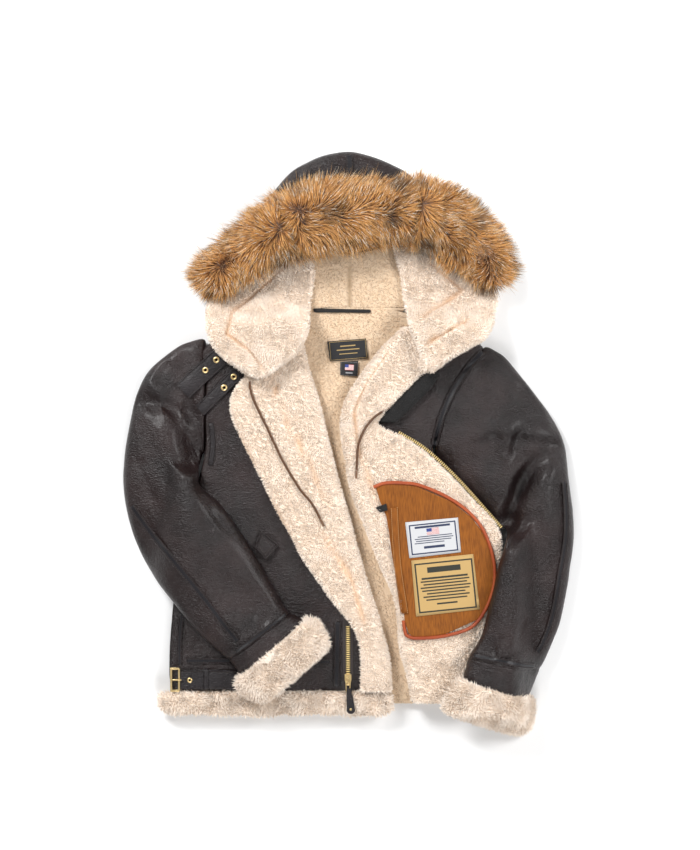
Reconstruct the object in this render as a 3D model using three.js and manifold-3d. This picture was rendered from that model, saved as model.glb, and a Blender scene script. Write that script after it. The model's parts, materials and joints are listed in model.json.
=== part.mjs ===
// A hooded shearling flying coat, laid on its back with the fronts opened out.
// Millimetres. X runs across the coat, Y from hem to hood, Z up from the table it lies on.
// "Right" and "left" are the wearer's, so the right half lies at negative X.
import * as THREE from 'three';
import Module from 'manifold-3d';
import { mergeVertices } from 'three/addons/utils/BufferGeometryUtils.js';

const wasm = await Module();
wasm.setup();

// Walls: the hide with its pile
const BODY_WALL = 14;
const SLEEVE_WALL = 17;
const SLIT = 3;
const SEAM = 0.4;
const EDGE = 6;

// Levels of the layers that lie on each other
const BACK_TOP = BODY_WALL;
const FRONT_BOTTOM = BACK_TOP + SEAM;
const FRONT_TOP = FRONT_BOTTOM + BODY_WALL;
const FLAP_BOTTOM = FRONT_TOP + SLIT;
const FLAP_TOP = FLAP_BOTTOM + BODY_WALL;
const HOOD_SLIT = 10;
const HOOD_TOP = 2 * BODY_WALL + HOOD_SLIT;
const HOOD_SIDE_TOP = 26;
const HEM_TOP = 35;

// Heights in Y
const NECK_Y = 268.6;
const BACK_HEM_Y = -388;
const FRONT_HEM_Y = -366;
const HEM_FUR_Y = -407;

// Outlines as tables: at each height y, the edge lies at x
const SIDE_RIGHT = [
  { y: 268.6, x: -80 }, { y: 206, x: -231 }, { y: 100, x: -231 }, { y: 30, x: -231 },
  { y: 0, x: -238 }, { y: -60, x: -250 }, { y: -120, x: -262 }, { y: -180, x: -274 },
  { y: -223, x: -281 }, { y: -314, x: -287 }, { y: -388, x: -287 },
];
const SIDE_LEFT = [
  { y: 268.6, x: 80 }, { y: 206, x: 229 }, { y: 172, x: 200 }, { y: 135, x: 179 },
  { y: 96, x: 161.2 }, { y: 56, x: 149.3 }, { y: 25, x: 143.3 }, { y: 0, x: 142.3 },
  { y: -20, x: 154 }, { y: -45, x: 176 }, { y: -80, x: 208 }, { y: -115, x: 236 },
  { y: -160, x: 249 }, { y: -230, x: 256 }, { y: -388, x: 258 },
];
const FOLD_RIGHT = [
  { y: 247, x: -74 }, { y: 210, x: -69 }, { y: 173, x: -61 }, { y: 116, x: -44 },
  { y: 50, x: -28 }, { y: -16, x: -11 }, { y: -82, x: 8 }, { y: -157, x: 28 },
  { y: -223, x: 49 }, { y: -280, x: 66 }, { y: -322, x: 75 }, { y: -366, x: 77 },
];
const EDGE_RIGHT = [
  { y: 247, x: -112 }, { y: 200, x: -132 }, { y: 170, x: -150 }, { y: 150, x: -168 },
  { y: 132, x: -183 }, { y: 116, x: -191 }, { y: 82, x: -184 }, { y: 50, x: -171 },
  { y: 16, x: -155 }, { y: -16, x: -137 }, { y: -50, x: -122 }, { y: -82, x: -106 },
  { y: -115, x: -86 }, { y: -148, x: -69 }, { y: -181, x: -45 }, { y: -214, x: -23 },
  { y: -247, x: 5 }, { y: -280, x: 23 }, { y: -313, x: 27 }, { y: -366, x: 25 },
];
const FOLD_LEFT = [
  { y: 235, x: 96 }, { y: 223, x: 82 }, { y: 198, x: 58 }, { y: 165, x: 33 },
  { y: 135, x: 12 }, { y: 107, x: -2 }, { y: 74, x: -7 }, { y: 50, x: -5 },
  { y: 16, x: 0 }, { y: -25, x: 8 }, { y: -58, x: 18 }, { y: -99, x: 35 },
  { y: -140, x: 51 }, { y: -181, x: 68 }, { y: -214, x: 82 }, { y: -239, x: 87 },
  { y: -280, x: 88 }, { y: -305, x: 93 }, { y: -346, x: 104 }, { y: -384, x: 111 },
];
const EDGE_LEFT = [
  { y: 235, x: 152 }, { y: 190, x: 148 }, { y: 168, x: 138 }, { y: 148, x: 116 },
  { y: 122, x: 91 }, { y: 102, x: 71 }, { y: 86, x: 58 }, { y: 74, x: 54 },
  { y: 64, x: 74 }, { y: 56, x: 92 }, { y: 35, x: 124 }, { y: 7, x: 157 },
  { y: -26, x: 190 }, { y: -63, x: 223 }, { y: -99, x: 254 }, { y: -119, x: 258 },
  { y: -160, x: 257 }, { y: -250, x: 255 }, { y: -384, x: 250 },
];
const HOOD_SIDE_RIGHT_OUTER = [
  { y: 152, x: -147 }, { y: 162, x: -168 }, { y: 173, x: -184 }, { y: 190, x: -203 },
  { y: 206, x: -218 }, { y: 231, x: -226 }, { y: 256, x: -228 }, { y: 280, x: -228 },
  { y: 305, x: -222 }, { y: 322, x: -210 }, { y: 343, x: -170 }, { y: 362, x: -125 },
];
const HOOD_SIDE_RIGHT_INNER = [
  { y: 152, x: -137 }, { y: 162, x: -118 }, { y: 173, x: -102 }, { y: 190, x: -86 },
  { y: 206, x: -70 }, { y: 231, x: -61 }, { y: 280, x: -58 }, { y: 322, x: -52 }, { y: 362, x: -54 },
];
const HOOD_SIDE_LEFT_INNER = [
  { y: 162, x: 129 }, { y: 173, x: 121 }, { y: 190, x: 125 }, { y: 206, x: 119 },
  { y: 223, x: 111 }, { y: 248, x: 104 }, { y: 272, x: 101 }, { y: 297, x: 97 },
  { y: 322, x: 93 }, { y: 343, x: 88 }, { y: 373, x: 80 },
];
const HOOD_SIDE_LEFT_OUTER = [
  { y: 162, x: 145 }, { y: 173, x: 160 }, { y: 190, x: 183 }, { y: 206, x: 216 },
  { y: 223, x: 234 }, { y: 248, x: 244 }, { y: 272, x: 250 }, { y: 297, x: 251 },
  { y: 322, x: 240 }, { y: 343, x: 215 }, { y: 373, x: 157 },
];
// The hood is cut across: at each x, its crown edge and its front edge lie at y
const HOOD_CROWN = [
  { x: -122, y: 452 }, { x: -107, y: 479 }, { x: -74, y: 503 }, { x: -41, y: 520 },
  { x: 8, y: 528 }, { x: 41, y: 521 }, { x: 91, y: 500 }, { x: 125, y: 474 }, { x: 137, y: 456 },
];
const HOOD_FRONT = [
  { x: -122, y: 424 }, { x: -107, y: 404 }, { x: -74, y: 376 }, { x: -41, y: 362 },
  { x: 8, y: 358 }, { x: 60, y: 368 }, { x: 91, y: 386 }, { x: 125, y: 412 }, { x: 137, y: 428 },
];
const POCKET_INNER = [
  { y: -23.5, x: 66 }, { y: -28, x: 50 }, { y: -44, x: 54 }, { y: -66, x: 65 },
  { y: -92, x: 71 }, { y: -124, x: 75 }, { y: -157, x: 80 }, { y: -190, x: 88 },
  { y: -223, x: 96 }, { y: -248, x: 98 }, { y: -261, x: 100 }, { y: -270, x: 105 }, { y: -274, x: 113 },
];
const POCKET_OUTER = [
  { y: -23.5, x: 99 }, { y: -28, x: 122 }, { y: -44, x: 162 }, { y: -66, x: 195 },
  { y: -92, x: 220 }, { y: -124, x: 236 }, { y: -157, x: 244 }, { y: -190, x: 243 },
  { y: -223, x: 232 }, { y: -248, x: 217 }, { y: -261, x: 198 }, { y: -270, x: 165 }, { y: -274, x: 136 },
];

// Sleeves: each row is one ring laid flat, from its inner edge to its outer edge
const SLEEVE_RIGHT = [
  { inX: -234, inY: 30, outX: -234, outY: 217, height: 28, bow: 0 },
  { inX: -237, inY: 26, outX: -267, outY: 210, height: 32, bow: 0 },
  { inX: -239, inY: 20, outX: -300, outY: 188, height: 37, bow: 0 },
  { inX: -240, inY: 14, outX: -328, outY: 162, height: 41, bow: 0 },
  { inX: -242, inY: 7, outX: -346, outY: 124, height: 44, bow: 0 },
  { inX: -242, inY: 0, outX: -358, outY: 74, height: 46, bow: 0 },
  { inX: -241, inY: -9, outX: -366, outY: 20, height: 47, bow: 0 },
  { inX: -240, inY: -24, outX: -368, outY: -26, height: 48, bow: 0 },
  { inX: -211, inY: -50, outX: -360, outY: -79, height: 48, bow: 0 },
  { inX: -183, inY: -86, outX: -342, outY: -132, height: 47, bow: 0 },
  { inX: -158, inY: -124, outX: -315, outY: -178, height: 46, bow: 0 },
  { inX: -137, inY: -160, outX: -282, outY: -219, height: 45, bow: 0 },
  { inX: -117, inY: -195, outX: -248, outY: -259, height: 43, bow: 0 },
  { inX: -102, inY: -221, outX: -218, outY: -289, height: 41, bow: 0 },
  { inX: -92, inY: -236, outX: -191, outY: -310, height: 40, bow: 0 },
];
const SLEEVE_LEFT = [
  { inX: 150, inY: 20, outX: 234, outY: 204, height: 28, bow: 20 },
  { inX: 163, inY: -7, outX: 261, outY: 191, height: 33, bow: 15 },
  { inX: 183, inY: -28, outX: 290, outY: 158, height: 38, bow: 9 },
  { inX: 203, inY: -49, outX: 318, outY: 122, height: 42, bow: 4 },
  { inX: 223, inY: -69, outX: 345, outY: 84, height: 45, bow: 0 },
  { inX: 241, inY: -86, outX: 365, outY: 40, height: 47, bow: 0 },
  { inX: 267, inY: -98, outX: 371, outY: -13, height: 48, bow: 0 },
  { inX: 263, inY: -118, outX: 378, outY: -66, height: 48, bow: 0 },
  { inX: 251, inY: -157, outX: 380, outY: -116, height: 47, bow: 0 },
  { inX: 243, inY: -195, outX: 373, outY: -168, height: 46, bow: 0 },
  { inX: 233, inY: -234, outX: 365, outY: -219, height: 45, bow: 0 },
  { inX: 223, inY: -271, outX: 353, outY: -267, height: 43, bow: 0 },
  { inX: 203, inY: -307, outX: 323, outY: -332, height: 41, bow: 0 },
];
const CUFF_BAND_RIGHT = [
  { inX: -91.7, inY: -236.4, outX: -190.7, outY: -310.4, height: 38, bow: 0 },
  { inX: -79, inY: -241, outX: -181, outY: -323, height: 38, bow: 0 },
  { inX: -69, inY: -248, outX: -172, outY: -336, height: 38, bow: 0 },
];
const CUFF_BAND_LEFT = [
  { inX: 202.9, inY: -307.4, outX: 322.9, outY: -332.4, height: 39, bow: 0 },
  { inX: 198, inY: -324, outX: 314, outY: -354, height: 38, bow: 0 },
  { inX: 194, inY: -341, outX: 303, outY: -374, height: 38, bow: 0 },
];
const CUFF_FUR_RIGHT = [
  { inX: -61.7, inY: -242.6, outX: -178.3, outY: -342.3, height: 40, bow: 0 },
  { inX: -46, inY: -247, outX: -181, outY: -352, height: 44, bow: 0 },
  { inX: -34, inY: -262, outX: -172, outY: -366, height: 46, bow: 0 },
  { inX: -26, inY: -284, outX: -154, outY: -378, height: 44, bow: 0 },
  { inX: -32, inY: -298, outX: -136, outY: -385, height: 38, bow: 0 },
];
const CUFF_FUR_LEFT = [
  { inX: 187.4, inY: -339.6, outX: 312.5, outY: -377.5, height: 40, bow: 0 },
  { inX: 174, inY: -352, outX: 316, outY: -394, height: 44, bow: 0 },
  { inX: 165, inY: -370, outX: 314, outY: -414, height: 46, bow: 0 },
  { inX: 158, inY: -386, outX: 306, outY: -434, height: 44, bow: 0 },
  { inX: 166, inY: -397, outX: 284, outY: -441, height: 38, bow: 0 },
];

// Largest folds: a soft trough (negative) or ridge along a line, of a half width
const SLEEVE_RIGHT_FOLDS = [
  { x1: -352, y1: 118, x2: -262, y2: 104, width: 17, depth: -11 },
  { x1: -324, y1: 166, x2: -284, y2: 140, width: 12, depth: -8 },
  { x1: -330, y1: 142, x2: -276, y2: 122, width: 11, depth: 5 },
  { x1: -286, y1: 200, x2: -262, y2: 150, width: 13, depth: -5 },
  { x1: -300, y1: 60, x2: -236, y2: -62, width: 17, depth: 6 },
  { x1: -262, y1: 40, x2: -246, y2: -10, width: 15, depth: -10 },
  { x1: -222, y1: -168, x2: -160, y2: -214, width: 12, depth: -5 },
  { x1: -152, y1: -222, x2: -132, y2: -252, width: 9, depth: -7 },
  { x1: -300, y1: 0, x2: -232, y2: -150, width: 24, depth: 3 },
];
const SLEEVE_LEFT_FOLDS = [
  { x1: 157, y1: 6, x2: 266, y2: -106, width: 17, depth: -16 },
  { x1: 196, y1: 44, x2: 262, y2: 56, width: 13, depth: 6 },
  { x1: 262, y1: 56, x2: 362, y2: 46, width: 14, depth: 7 },
  { x1: 204, y1: 30, x2: 366, y2: 30, width: 12, depth: -9 },
  { x1: 318, y1: 14, x2: 296, y2: -22, width: 13, depth: -15 },
  { x1: 296, y1: -22, x2: 272, y2: -78, width: 13, depth: -18 },
  { x1: 332, y1: 0, x2: 336, y2: -90, width: 20, depth: 5 },
  { x1: 214, y1: 142, x2: 296, y2: 110, width: 15, depth: -5 },
  { x1: 318, y1: -250, x2: 288, y2: -300, width: 12, depth: -7 },
  { x1: 236, y1: -286, x2: 244, y2: -308, width: 9, depth: -8 },
  { x1: 330, y1: -180, x2: 322, y2: -290, width: 10, depth: 4 },
];
const FRONT_RIGHT_FOLDS = [
  { x1: -268, y1: -236, x2: -220, y2: -262, width: 14, depth: -3 },
  { x1: -272, y1: -276, x2: -214, y2: -288, width: 12, depth: -3 },
  { x1: -212, y1: 60, x2: -170, y2: -30, width: 20, depth: -3 },
];
const LAPEL_FOLDS = [
  { x1: -112, y1: 150, x2: -78, y2: 40, width: 9, depth: -4 },
  { x1: -78, y1: 40, x2: -20, y2: -60, width: 9, depth: -4 },
  { x1: -156, y1: 70, x2: -60, y2: -110, width: 10, depth: -2.5 },
  { x1: 20, y1: -200, x2: 52, y2: -350, width: 12, depth: 2.5 },
];
const FLAP_FOLDS = [
  { x1: 62, y1: 186, x2: 8, y2: 92, width: 12, depth: 4 },
  { x1: 84, y1: 168, x2: 30, y2: 108, width: 8, depth: -3.5 },
  { x1: 30, y1: 60, x2: 96, y2: -4, width: 18, depth: 3 },
  { x1: 108, y1: -300, x2: 140, y2: -340, width: 10, depth: -4 },
  { x1: 150, y1: -330, x2: 196, y2: -290, width: 12, depth: -4 },
  { x1: 120, y1: -286, x2: 158, y2: -300, width: 12, depth: 3 },
];
const HOOD_SIDE_RIGHT_FOLDS = [
  { x1: -96, y1: 340, x2: -188, y2: 250, width: 11, depth: -4 },
  { x1: -188, y1: 250, x2: -138, y2: 190, width: 11, depth: -4 },
  { x1: -118, y1: 292, x2: -132, y2: 216, width: 30, depth: 7 },
];
const HOOD_SIDE_LEFT_FOLDS = [
  { x1: 146, y1: 348, x2: 214, y2: 290, width: 10, depth: -4 },
  { x1: 214, y1: 290, x2: 144, y2: 226, width: 10, depth: -4 },
  { x1: 178, y1: 322, x2: 120, y2: 262, width: 10, depth: -4 },
  { x1: 138, y1: 300, x2: 168, y2: 240, width: 26, depth: 6 },
];
const CROWN_FOLDS = [
  { x1: -84, y1: 498, x2: -54, y2: 452, width: 16, depth: 2.5 },
  { x1: 70, y1: 500, x2: 44, y2: 456, width: 18, depth: 2.5 },
];

// Fur round the hood's face: each row is a cross-cut of the strip
const RUFF = [
  { x: -238, y: 303, half: 18, height: 34 }, { x: -228, y: 312, half: 33, height: 46 },
  { x: -203, y: 330, half: 40, height: 54 }, { x: -165, y: 359, half: 43, height: 58 },
  { x: -127, y: 385, half: 48, height: 60 }, { x: -82, y: 405, half: 54, height: 62 },
  { x: -33, y: 416, half: 59, height: 62 }, { x: 16, y: 420, half: 56, height: 62 },
  { x: 66, y: 425, half: 52, height: 60 }, { x: 116, y: 425, half: 52, height: 60 },
  { x: 160, y: 413, half: 53, height: 60 }, { x: 198, y: 388, half: 50, height: 58 },
  { x: 231, y: 352, half: 43, height: 54 }, { x: 250, y: 320, half: 33, height: 46 },
  { x: 255, y: 308, half: 18, height: 34 },
];

// Cords: a waxed lace's route in plan, from where it leaves the collar
const CORD_RADIUS = 2;
const CORD_RIGHT = [
  [-157, 146], [-156, 134], [-151, 117], [-142, 97], [-129, 71], [-116, 43],
  [-104, 18], [-89, -8], [-73, -33], [-56, -53], [-46, -70], [-41, -80],
];
const CORD_LEFT = [[78, 106], [66, 99], [46, 85], [31, 65], [22, 42], [20, 20], [19, 0]];
const AGLET_LENGTH = 14;

const SLIDER = { x: 5, y: -347, width: 11, length: 18, bottom: FRONT_TOP + SEAM + 1.2, height: 6.2 };
const EYELETS = [[-213, 182], [-231, 165], [-184, 154], [-200, 136]];
const WAIST_EYELET = [-257, -348];

const MATERIALS = {
  hide: { color: 0x3b2d2b, roughness: 0.42, metalness: 0 },
  tape: { color: 0x2a2226, roughness: 0.5, metalness: 0 },
  pile: { color: 0xf0dfcb, roughness: 0.95, metalness: 0 },
  liningPile: { color: 0xdcc39a, roughness: 0.95, metalness: 0 },
  blackPile: { color: 0x1c1819, roughness: 0.95, metalness: 0 },
  ruff: { color: 0xa9713a, roughness: 0.9, metalness: 0 },
  pocketHide: { color: 0xa95c24, roughness: 0.6, metalness: 0 },
  binding: { color: 0xb84a2c, roughness: 0.6, metalness: 0 },
  brass: { color: 0xb9964e, roughness: 0.3, metalness: 1 },
  whiteLabel: { color: 0xe8e8ea, roughness: 0.8, metalness: 0 },
  ochreLabel: { color: 0xd7b26a, roughness: 0.8, metalness: 0 },
  blackLabel: { color: 0x17161a, roughness: 0.8, metalness: 0 },
  lace: { color: 0x4a2c1c, roughness: 0.6, metalness: 0 },
};

const coat = new THREE.Group();

/** A value that follows a table's column smoothly, without overshoot, against another column. */
function track(rows, from, to) {
  const sorted = [...rows].sort((a, b) => a[from] - b[from]);
  const t = sorted.map((row) => row[from]);
  const v = sorted.map((row) => row[to]);
  const slope = t.slice(1).map((_, i) => (v[i + 1] - v[i]) / (t[i + 1] - t[i]));
  const tangent = t.map((_, i) => {
    if (i === 0) return slope[0];
    if (i === t.length - 1) return slope[i - 1];
    return slope[i - 1] * slope[i] <= 0 ? 0 : 2 / (1 / slope[i - 1] + 1 / slope[i]);
  });
  return (at) => {
    if (at <= t[0]) return v[0];
    if (at >= t[t.length - 1]) return v[v.length - 1];
    const i = t.findIndex((value) => value > at) - 1;
    const h = t[i + 1] - t[i];
    const s = (at - t[i]) / h;
    const a = (1 + 2 * s) * (1 - s) * (1 - s);
    const b = s * (1 - s) * (1 - s);
    const c = s * s * (3 - 2 * s);
    const d = s * s * (s - 1);
    return a * v[i] + b * h * tangent[i] + c * v[i + 1] + d * h * tangent[i + 1];
  };
}

/** Evenly spaced values with one more close to each end, where the edge is rounded. */
function stations(from, to, count, edge = EDGE) {
  const step = Math.sign(to - from) * Math.min(edge, Math.abs(to - from) / 4);
  const inner = Array.from({ length: count }, (_, i) => (
    from + step + (to - from - 2 * step) * (i / (count - 1))
  ));
  return [from, ...inner, to];
}

/** How far the folds of a table raise or sink the cloth at a point. */
function foldsAt(folds, x, y) {
  return folds.reduce((sum, f) => {
    const dx = f.x2 - f.x1;
    const dy = f.y2 - f.y1;
    const s = THREE.MathUtils.clamp(((x - f.x1) * dx + (y - f.y1) * dy) / (dx * dx + dy * dy), 0, 1);
    const distance = Math.hypot(x - f.x1 - s * dx, y - f.y1 - s * dy);
    return sum + f.depth * Math.exp(-((distance / f.width) ** 2));
  }, 0);
}

/** A closed wall between two matching grids of points. A ring's rows close on themselves. */
function wall(outer, inner, ring = false) {
  const rows = outer.length;
  const columns = outer[0].length;
  const positions = [...outer.flat(), ...inner.flat()].flatMap((p) => [p.x, p.y, p.z]);
  const at = (side, row, column) => side * rows * columns + row * columns + (column % columns);
  const index = [];
  const quad = (a, b, c, d) => index.push(a, b, c, a, c, d);
  const last = ring ? columns : columns - 1;
  for (let row = 0; row < rows - 1; row += 1) {
    for (let column = 0; column < last; column += 1) {
      quad(at(0, row, column), at(0, row, column + 1), at(0, row + 1, column + 1), at(0, row + 1, column));
      quad(at(1, row, column), at(1, row + 1, column), at(1, row + 1, column + 1), at(1, row, column + 1));
    }
  }
  for (let column = 0; column < last; column += 1) {
    quad(at(1, 0, column), at(1, 0, column + 1), at(0, 0, column + 1), at(0, 0, column));
    const end = rows - 1;
    quad(at(0, end, column), at(0, end, column + 1), at(1, end, column + 1), at(1, end, column));
  }
  for (let row = 0; row < rows - 1 && !ring; row += 1) {
    quad(at(0, row, 0), at(0, row + 1, 0), at(1, row + 1, 0), at(1, row, 0));
    quad(at(1, row, last), at(1, row + 1, last), at(0, row + 1, last), at(0, row, last));
  }
  const geometry = new THREE.BufferGeometry();
  geometry.setAttribute('position', new THREE.Float32BufferAttribute(positions, 3));
  geometry.setIndex(signedVolume(positions, index) < 0 ? index.reverse() : index);
  return geometry;
}

function signedVolume(positions, index) {
  const point = (i) => new THREE.Vector3().fromArray(positions, 3 * i);
  let sum = 0;
  for (let i = 0; i < index.length; i += 3) {
    sum += point(index[i]).dot(point(index[i + 1]).cross(point(index[i + 2])));
  }
  return sum / 6;
}

function add(name, material, geometry) {
  const mesh = new THREE.Mesh(geometry, new THREE.MeshStandardMaterial(MATERIALS[material]));
  mesh.name = name;
  coat.add(mesh);
  return mesh;
}

/** A panel cut across at heights ys, between a left and a right edge, with rounded borders. */
function panel({ ys, left, right, columns, bottom, top }) {
  const outer = [];
  const inner = [];
  ys.forEach((y, row) => {
    const xs = stations(left(y), right(y), columns);
    const rim = (column) => row === 0 || row === ys.length - 1 || column === 0 || column === xs.length - 1;
    const lift = (column) => (rim(column) ? 0.28 : 0);
    outer.push(xs.map((x, c) => (
      new THREE.Vector3(x, y, THREE.MathUtils.lerp(top(x, y), bottom(x, y), lift(c)))
    )));
    inner.push(xs.map((x, c) => (
      new THREE.Vector3(x, y, THREE.MathUtils.lerp(bottom(x, y), top(x, y), lift(c)))
    )));
  });
  return wall(outer, inner);
}

/**
 * A panel that folds back over itself: from its seam to the fold, round it, and back to its free edge.
 * place(u, v, z) puts a point; u runs across the fold, v along it.
 */
function foldedPanel({ vs, seam, fold, free, columns, bottom, slit, place, lowerRelief, upperRelief }) {
  const radius = BODY_WALL + slit / 2;
  const middle = bottom + radius;
  const bends = 5;
  const outer = [];
  const inner = [];
  vs.forEach((v, row) => {
    const sign = Math.sign(fold(v) - seam(v));
    const centre = fold(v) - sign * radius;
    const end = row === 0 || row === vs.length - 1;
    const pile = [];
    const hide = [];
    const push = (u, pileZ, hideZ, rim) => {
      const soften = rim || end ? 0.25 : 0;
      pile.push(place(u, v, THREE.MathUtils.lerp(pileZ, hideZ, soften)));
      hide.push(place(u, v, THREE.MathUtils.lerp(hideZ, pileZ, soften)));
    };
    stations(seam(v), centre, columns[0]).forEach((u, i) => {
      const covered = sign * (u - free(v)) > -EDGE * 2;
      const relief = covered ? 0 : lowerRelief(u, v);
      push(u, bottom, bottom + BODY_WALL + relief, i === 0);
    });
    for (let bend = 1; bend < bends; bend += 1) {
      const angle = -Math.PI / 2 + (Math.PI * bend) / bends;
      const c = Math.cos(angle) * sign;
      const s = Math.sin(angle);
      pile.push(place(centre + radius * c, v, middle + radius * s));
      hide.push(place(centre + (slit / 2) * c, v, middle + (slit / 2) * s));
    }
    const back = stations(centre, free(v), columns[1]);
    back.forEach((u, i) => {
      const z = middle + slit / 2;
      push(u, z + BODY_WALL + upperRelief(u, v), z, i === back.length - 1);
    });
    outer.push(pile);
    inner.push(hide);
  });
  return wall(outer, inner);
}

/** A tube laid flat: rings of a plump section with a flat underside, its two panels lying on each other. */
function flatTube({ rows, rings, points, base, folds = [], thickness = SLEEVE_WALL }) {
  const line = (x, y) => new THREE.CatmullRomCurve3(
    rows.map((row) => new THREE.Vector3(row[x], row[y], 0)), false, 'centripetal',
  );
  const innerLine = line('inX', 'inY');
  const outerLine = line('outX', 'outY');
  const numbered = rows.map((row, i) => ({ ...row, i }));
  const height = track(numbered, 'i', 'height');
  const bow = track(numbered, 'i', 'bow');
  const outer = [];
  const inner = [];
  for (let ring = 0; ring < rings; ring += 1) {
    const t = ring / (rings - 1);
    const i = t * (rows.length - 1);
    const from = innerLine.getPoint(t);
    const half = outerLine.getPoint(t).sub(from).multiplyScalar(0.5);
    const centre = from.clone().add(half);
    const normal = new THREE.Vector3(-half.y, half.x, 0).normalize().multiplyScalar(bow(i));
    const at = (c) => centre.clone().addScaledVector(half, c).addScaledVector(normal, 1 - c * c);
    const tall = height(i);
    const plump = (c) => Math.sqrt(Math.max(0, 1 - c * c));
    const top = (c) => {
      const p = at(c);
      const crown = tall * (0.35 + 0.65 * plump(c) ** 0.8);
      return base(p.x, p.y) + crown + foldsAt(folds, p.x, p.y) * Math.min(1, 1.6 * plump(c));
    };
    const under = (c) => {
      const p = at(c);
      return base(p.x, p.y) + 0.35 * tall * (1 - Math.min(1, 2.4 * plump(c)));
    };
    const cut = 1 - thickness / half.length();
    const outerRing = [];
    const innerRing = [];
    for (let k = 0; k < points; k += 1) {
      const angle = (2 * Math.PI * k) / points;
      const c = Math.cos(angle);
      const upper = Math.sin(angle) >= 0;
      const p = at(c);
      outerRing.push(new THREE.Vector3(p.x, p.y, upper ? top(c) : under(c)));
      const q = at(c * cut);
      const middle = (top(c * cut) + under(c * cut)) / 2;
      innerRing.push(new THREE.Vector3(q.x, q.y, middle + (SLIT / 2) * Math.sin(angle)));
    }
    outer.push(outerRing);
    inner.push(innerRing);
  }
  return wall(outer, inner, true);
}

const downRay = new THREE.Raycaster();
const DOWN = new THREE.Vector3(0, 0, -1);

/** The height of the highest of some meshes at a point, or of the table. */
function heightOver(meshes, x, y) {
  downRay.set(new THREE.Vector3(x, y, 300), DOWN);
  const hits = downRay.intersectObjects(meshes);
  return hits.length ? hits[0].point.z : 0;
}

/** The height that clears some meshes all round a point. */
function restOn(meshes, x, y, reach) {
  const offsets = [-1, -0.5, 0, 0.5, 1];
  return SEAM + Math.max(...offsets.flatMap((i) => (
    offsets.map((j) => heightOver(meshes, x + i * reach, y + j * reach))
  )));
}

/** A thin piece between four corners, lying on other pieces. */
function patch({ corners, rows, columns, thickness, over, reach }) {
  const [a, b, c, d] = corners.map(([x, y]) => new THREE.Vector2(x, y));
  const outer = [];
  const inner = [];
  for (let row = 0; row <= rows; row += 1) {
    const from = a.clone().lerp(d, row / rows);
    const to = b.clone().lerp(c, row / rows);
    const points = Array.from({ length: columns + 1 }, (_, i) => from.clone().lerp(to, i / columns));
    inner.push(points.map((p) => new THREE.Vector3(p.x, p.y, restOn(over, p.x, p.y, reach))));
    outer.push(inner[row].map((p) => new THREE.Vector3(p.x, p.y, p.z + thickness)));
  }
  return wall(outer, inner);
}

/** A strip of even width that follows a route in plan and lies on other pieces. */
function strip({ route, width, steps, thickness, over, reach = 3, columns = 2 }) {
  const line = new THREE.SplineCurve(route.map(([x, y]) => new THREE.Vector2(x, y)));
  const outer = [];
  const inner = [];
  for (let step = 0; step <= steps; step += 1) {
    const middle = line.getPointAt(step / steps);
    const along = line.getTangentAt(step / steps);
    const side = new THREE.Vector2(-along.y, along.x);
    const row = Array.from({ length: columns + 1 }, (_, i) => (
      middle.clone().addScaledVector(side, width * (i / columns - 0.5))
    ));
    inner.push(row.map((p) => new THREE.Vector3(p.x, p.y, restOn(over, p.x, p.y, reach))));
    outer.push(inner[step].map((p) => new THREE.Vector3(p.x, p.y, p.z + thickness)));
  }
  return wall(outer, inner);
}

/** A round cord along a route in plan, lying on other pieces. */
function cord({ route, radius, steps, sides, over }) {
  const plan = new THREE.SplineCurve(route.map(([x, y]) => new THREE.Vector2(x, y)));
  const points = Array.from({ length: steps + 1 }, (_, i) => {
    const p = plan.getPointAt(i / steps);
    return new THREE.Vector3(p.x, p.y, restOn(over, p.x, p.y, radius * 1.5) + radius);
  });
  const section = new THREE.Shape();
  section.absarc(0, 0, radius, 0, 2 * Math.PI);
  const geometry = new THREE.ExtrudeGeometry(section, {
    steps, curveSegments: sides, bevelEnabled: false, extrudePath: new THREE.CatmullRomCurve3(points),
  });
  return bare(geometry);
}

/** A geometry with positions alone, its shared vertices merged. */
function bare(geometry) {
  geometry.deleteAttribute('normal');
  geometry.deleteAttribute('uv');
  return mergeVertices(geometry, 1e-4);
}

function toSolid(geometry) {
  return new wasm.Manifold(new wasm.Mesh({
    numProp: 3,
    vertProperties: new Float32Array(geometry.attributes.position.array),
    triVerts: new Uint32Array(geometry.index.array),
  }));
}

function toGeometry(solid) {
  const mesh = solid.getMesh();
  const geometry = new THREE.BufferGeometry();
  geometry.setAttribute('position', new THREE.Float32BufferAttribute(mesh.vertProperties, 3));
  geometry.setIndex([...mesh.triVerts]);
  return geometry;
}

/** The turn and place of a small fitting that sits flat on a piece. */
function seat(mesh, x, y, lift) {
  const span = 4;
  const h = (i, j) => heightOver([mesh], x + i * span, y + j * span);
  const normal = new THREE.Vector3((h(-1, 0) - h(1, 0)) / (2 * span), (h(0, -1) - h(0, 1)) / (2 * span), 1);
  normal.normalize();
  const turn = new THREE.Quaternion().setFromUnitVectors(new THREE.Vector3(0, 0, 1), normal);
  const place = new THREE.Vector3(x, y, h(0, 0)).addScaledVector(normal, lift);
  return new THREE.Matrix4().compose(place, turn, new THREE.Vector3(1, 1, 1));
}

/** Cuts round holes through a strap where its eyelets sit. */
function punched(mesh, places, radius) {
  let solid = toSolid(mesh.geometry);
  places.forEach(([x, y]) => {
    const hole = bare(new THREE.CylinderGeometry(radius, radius, 14, 12));
    hole.rotateX(Math.PI / 2);
    hole.applyMatrix4(seat(mesh, x, y, 0));
    solid = solid.subtract(toSolid(hole));
  });
  return toGeometry(solid);
}

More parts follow.
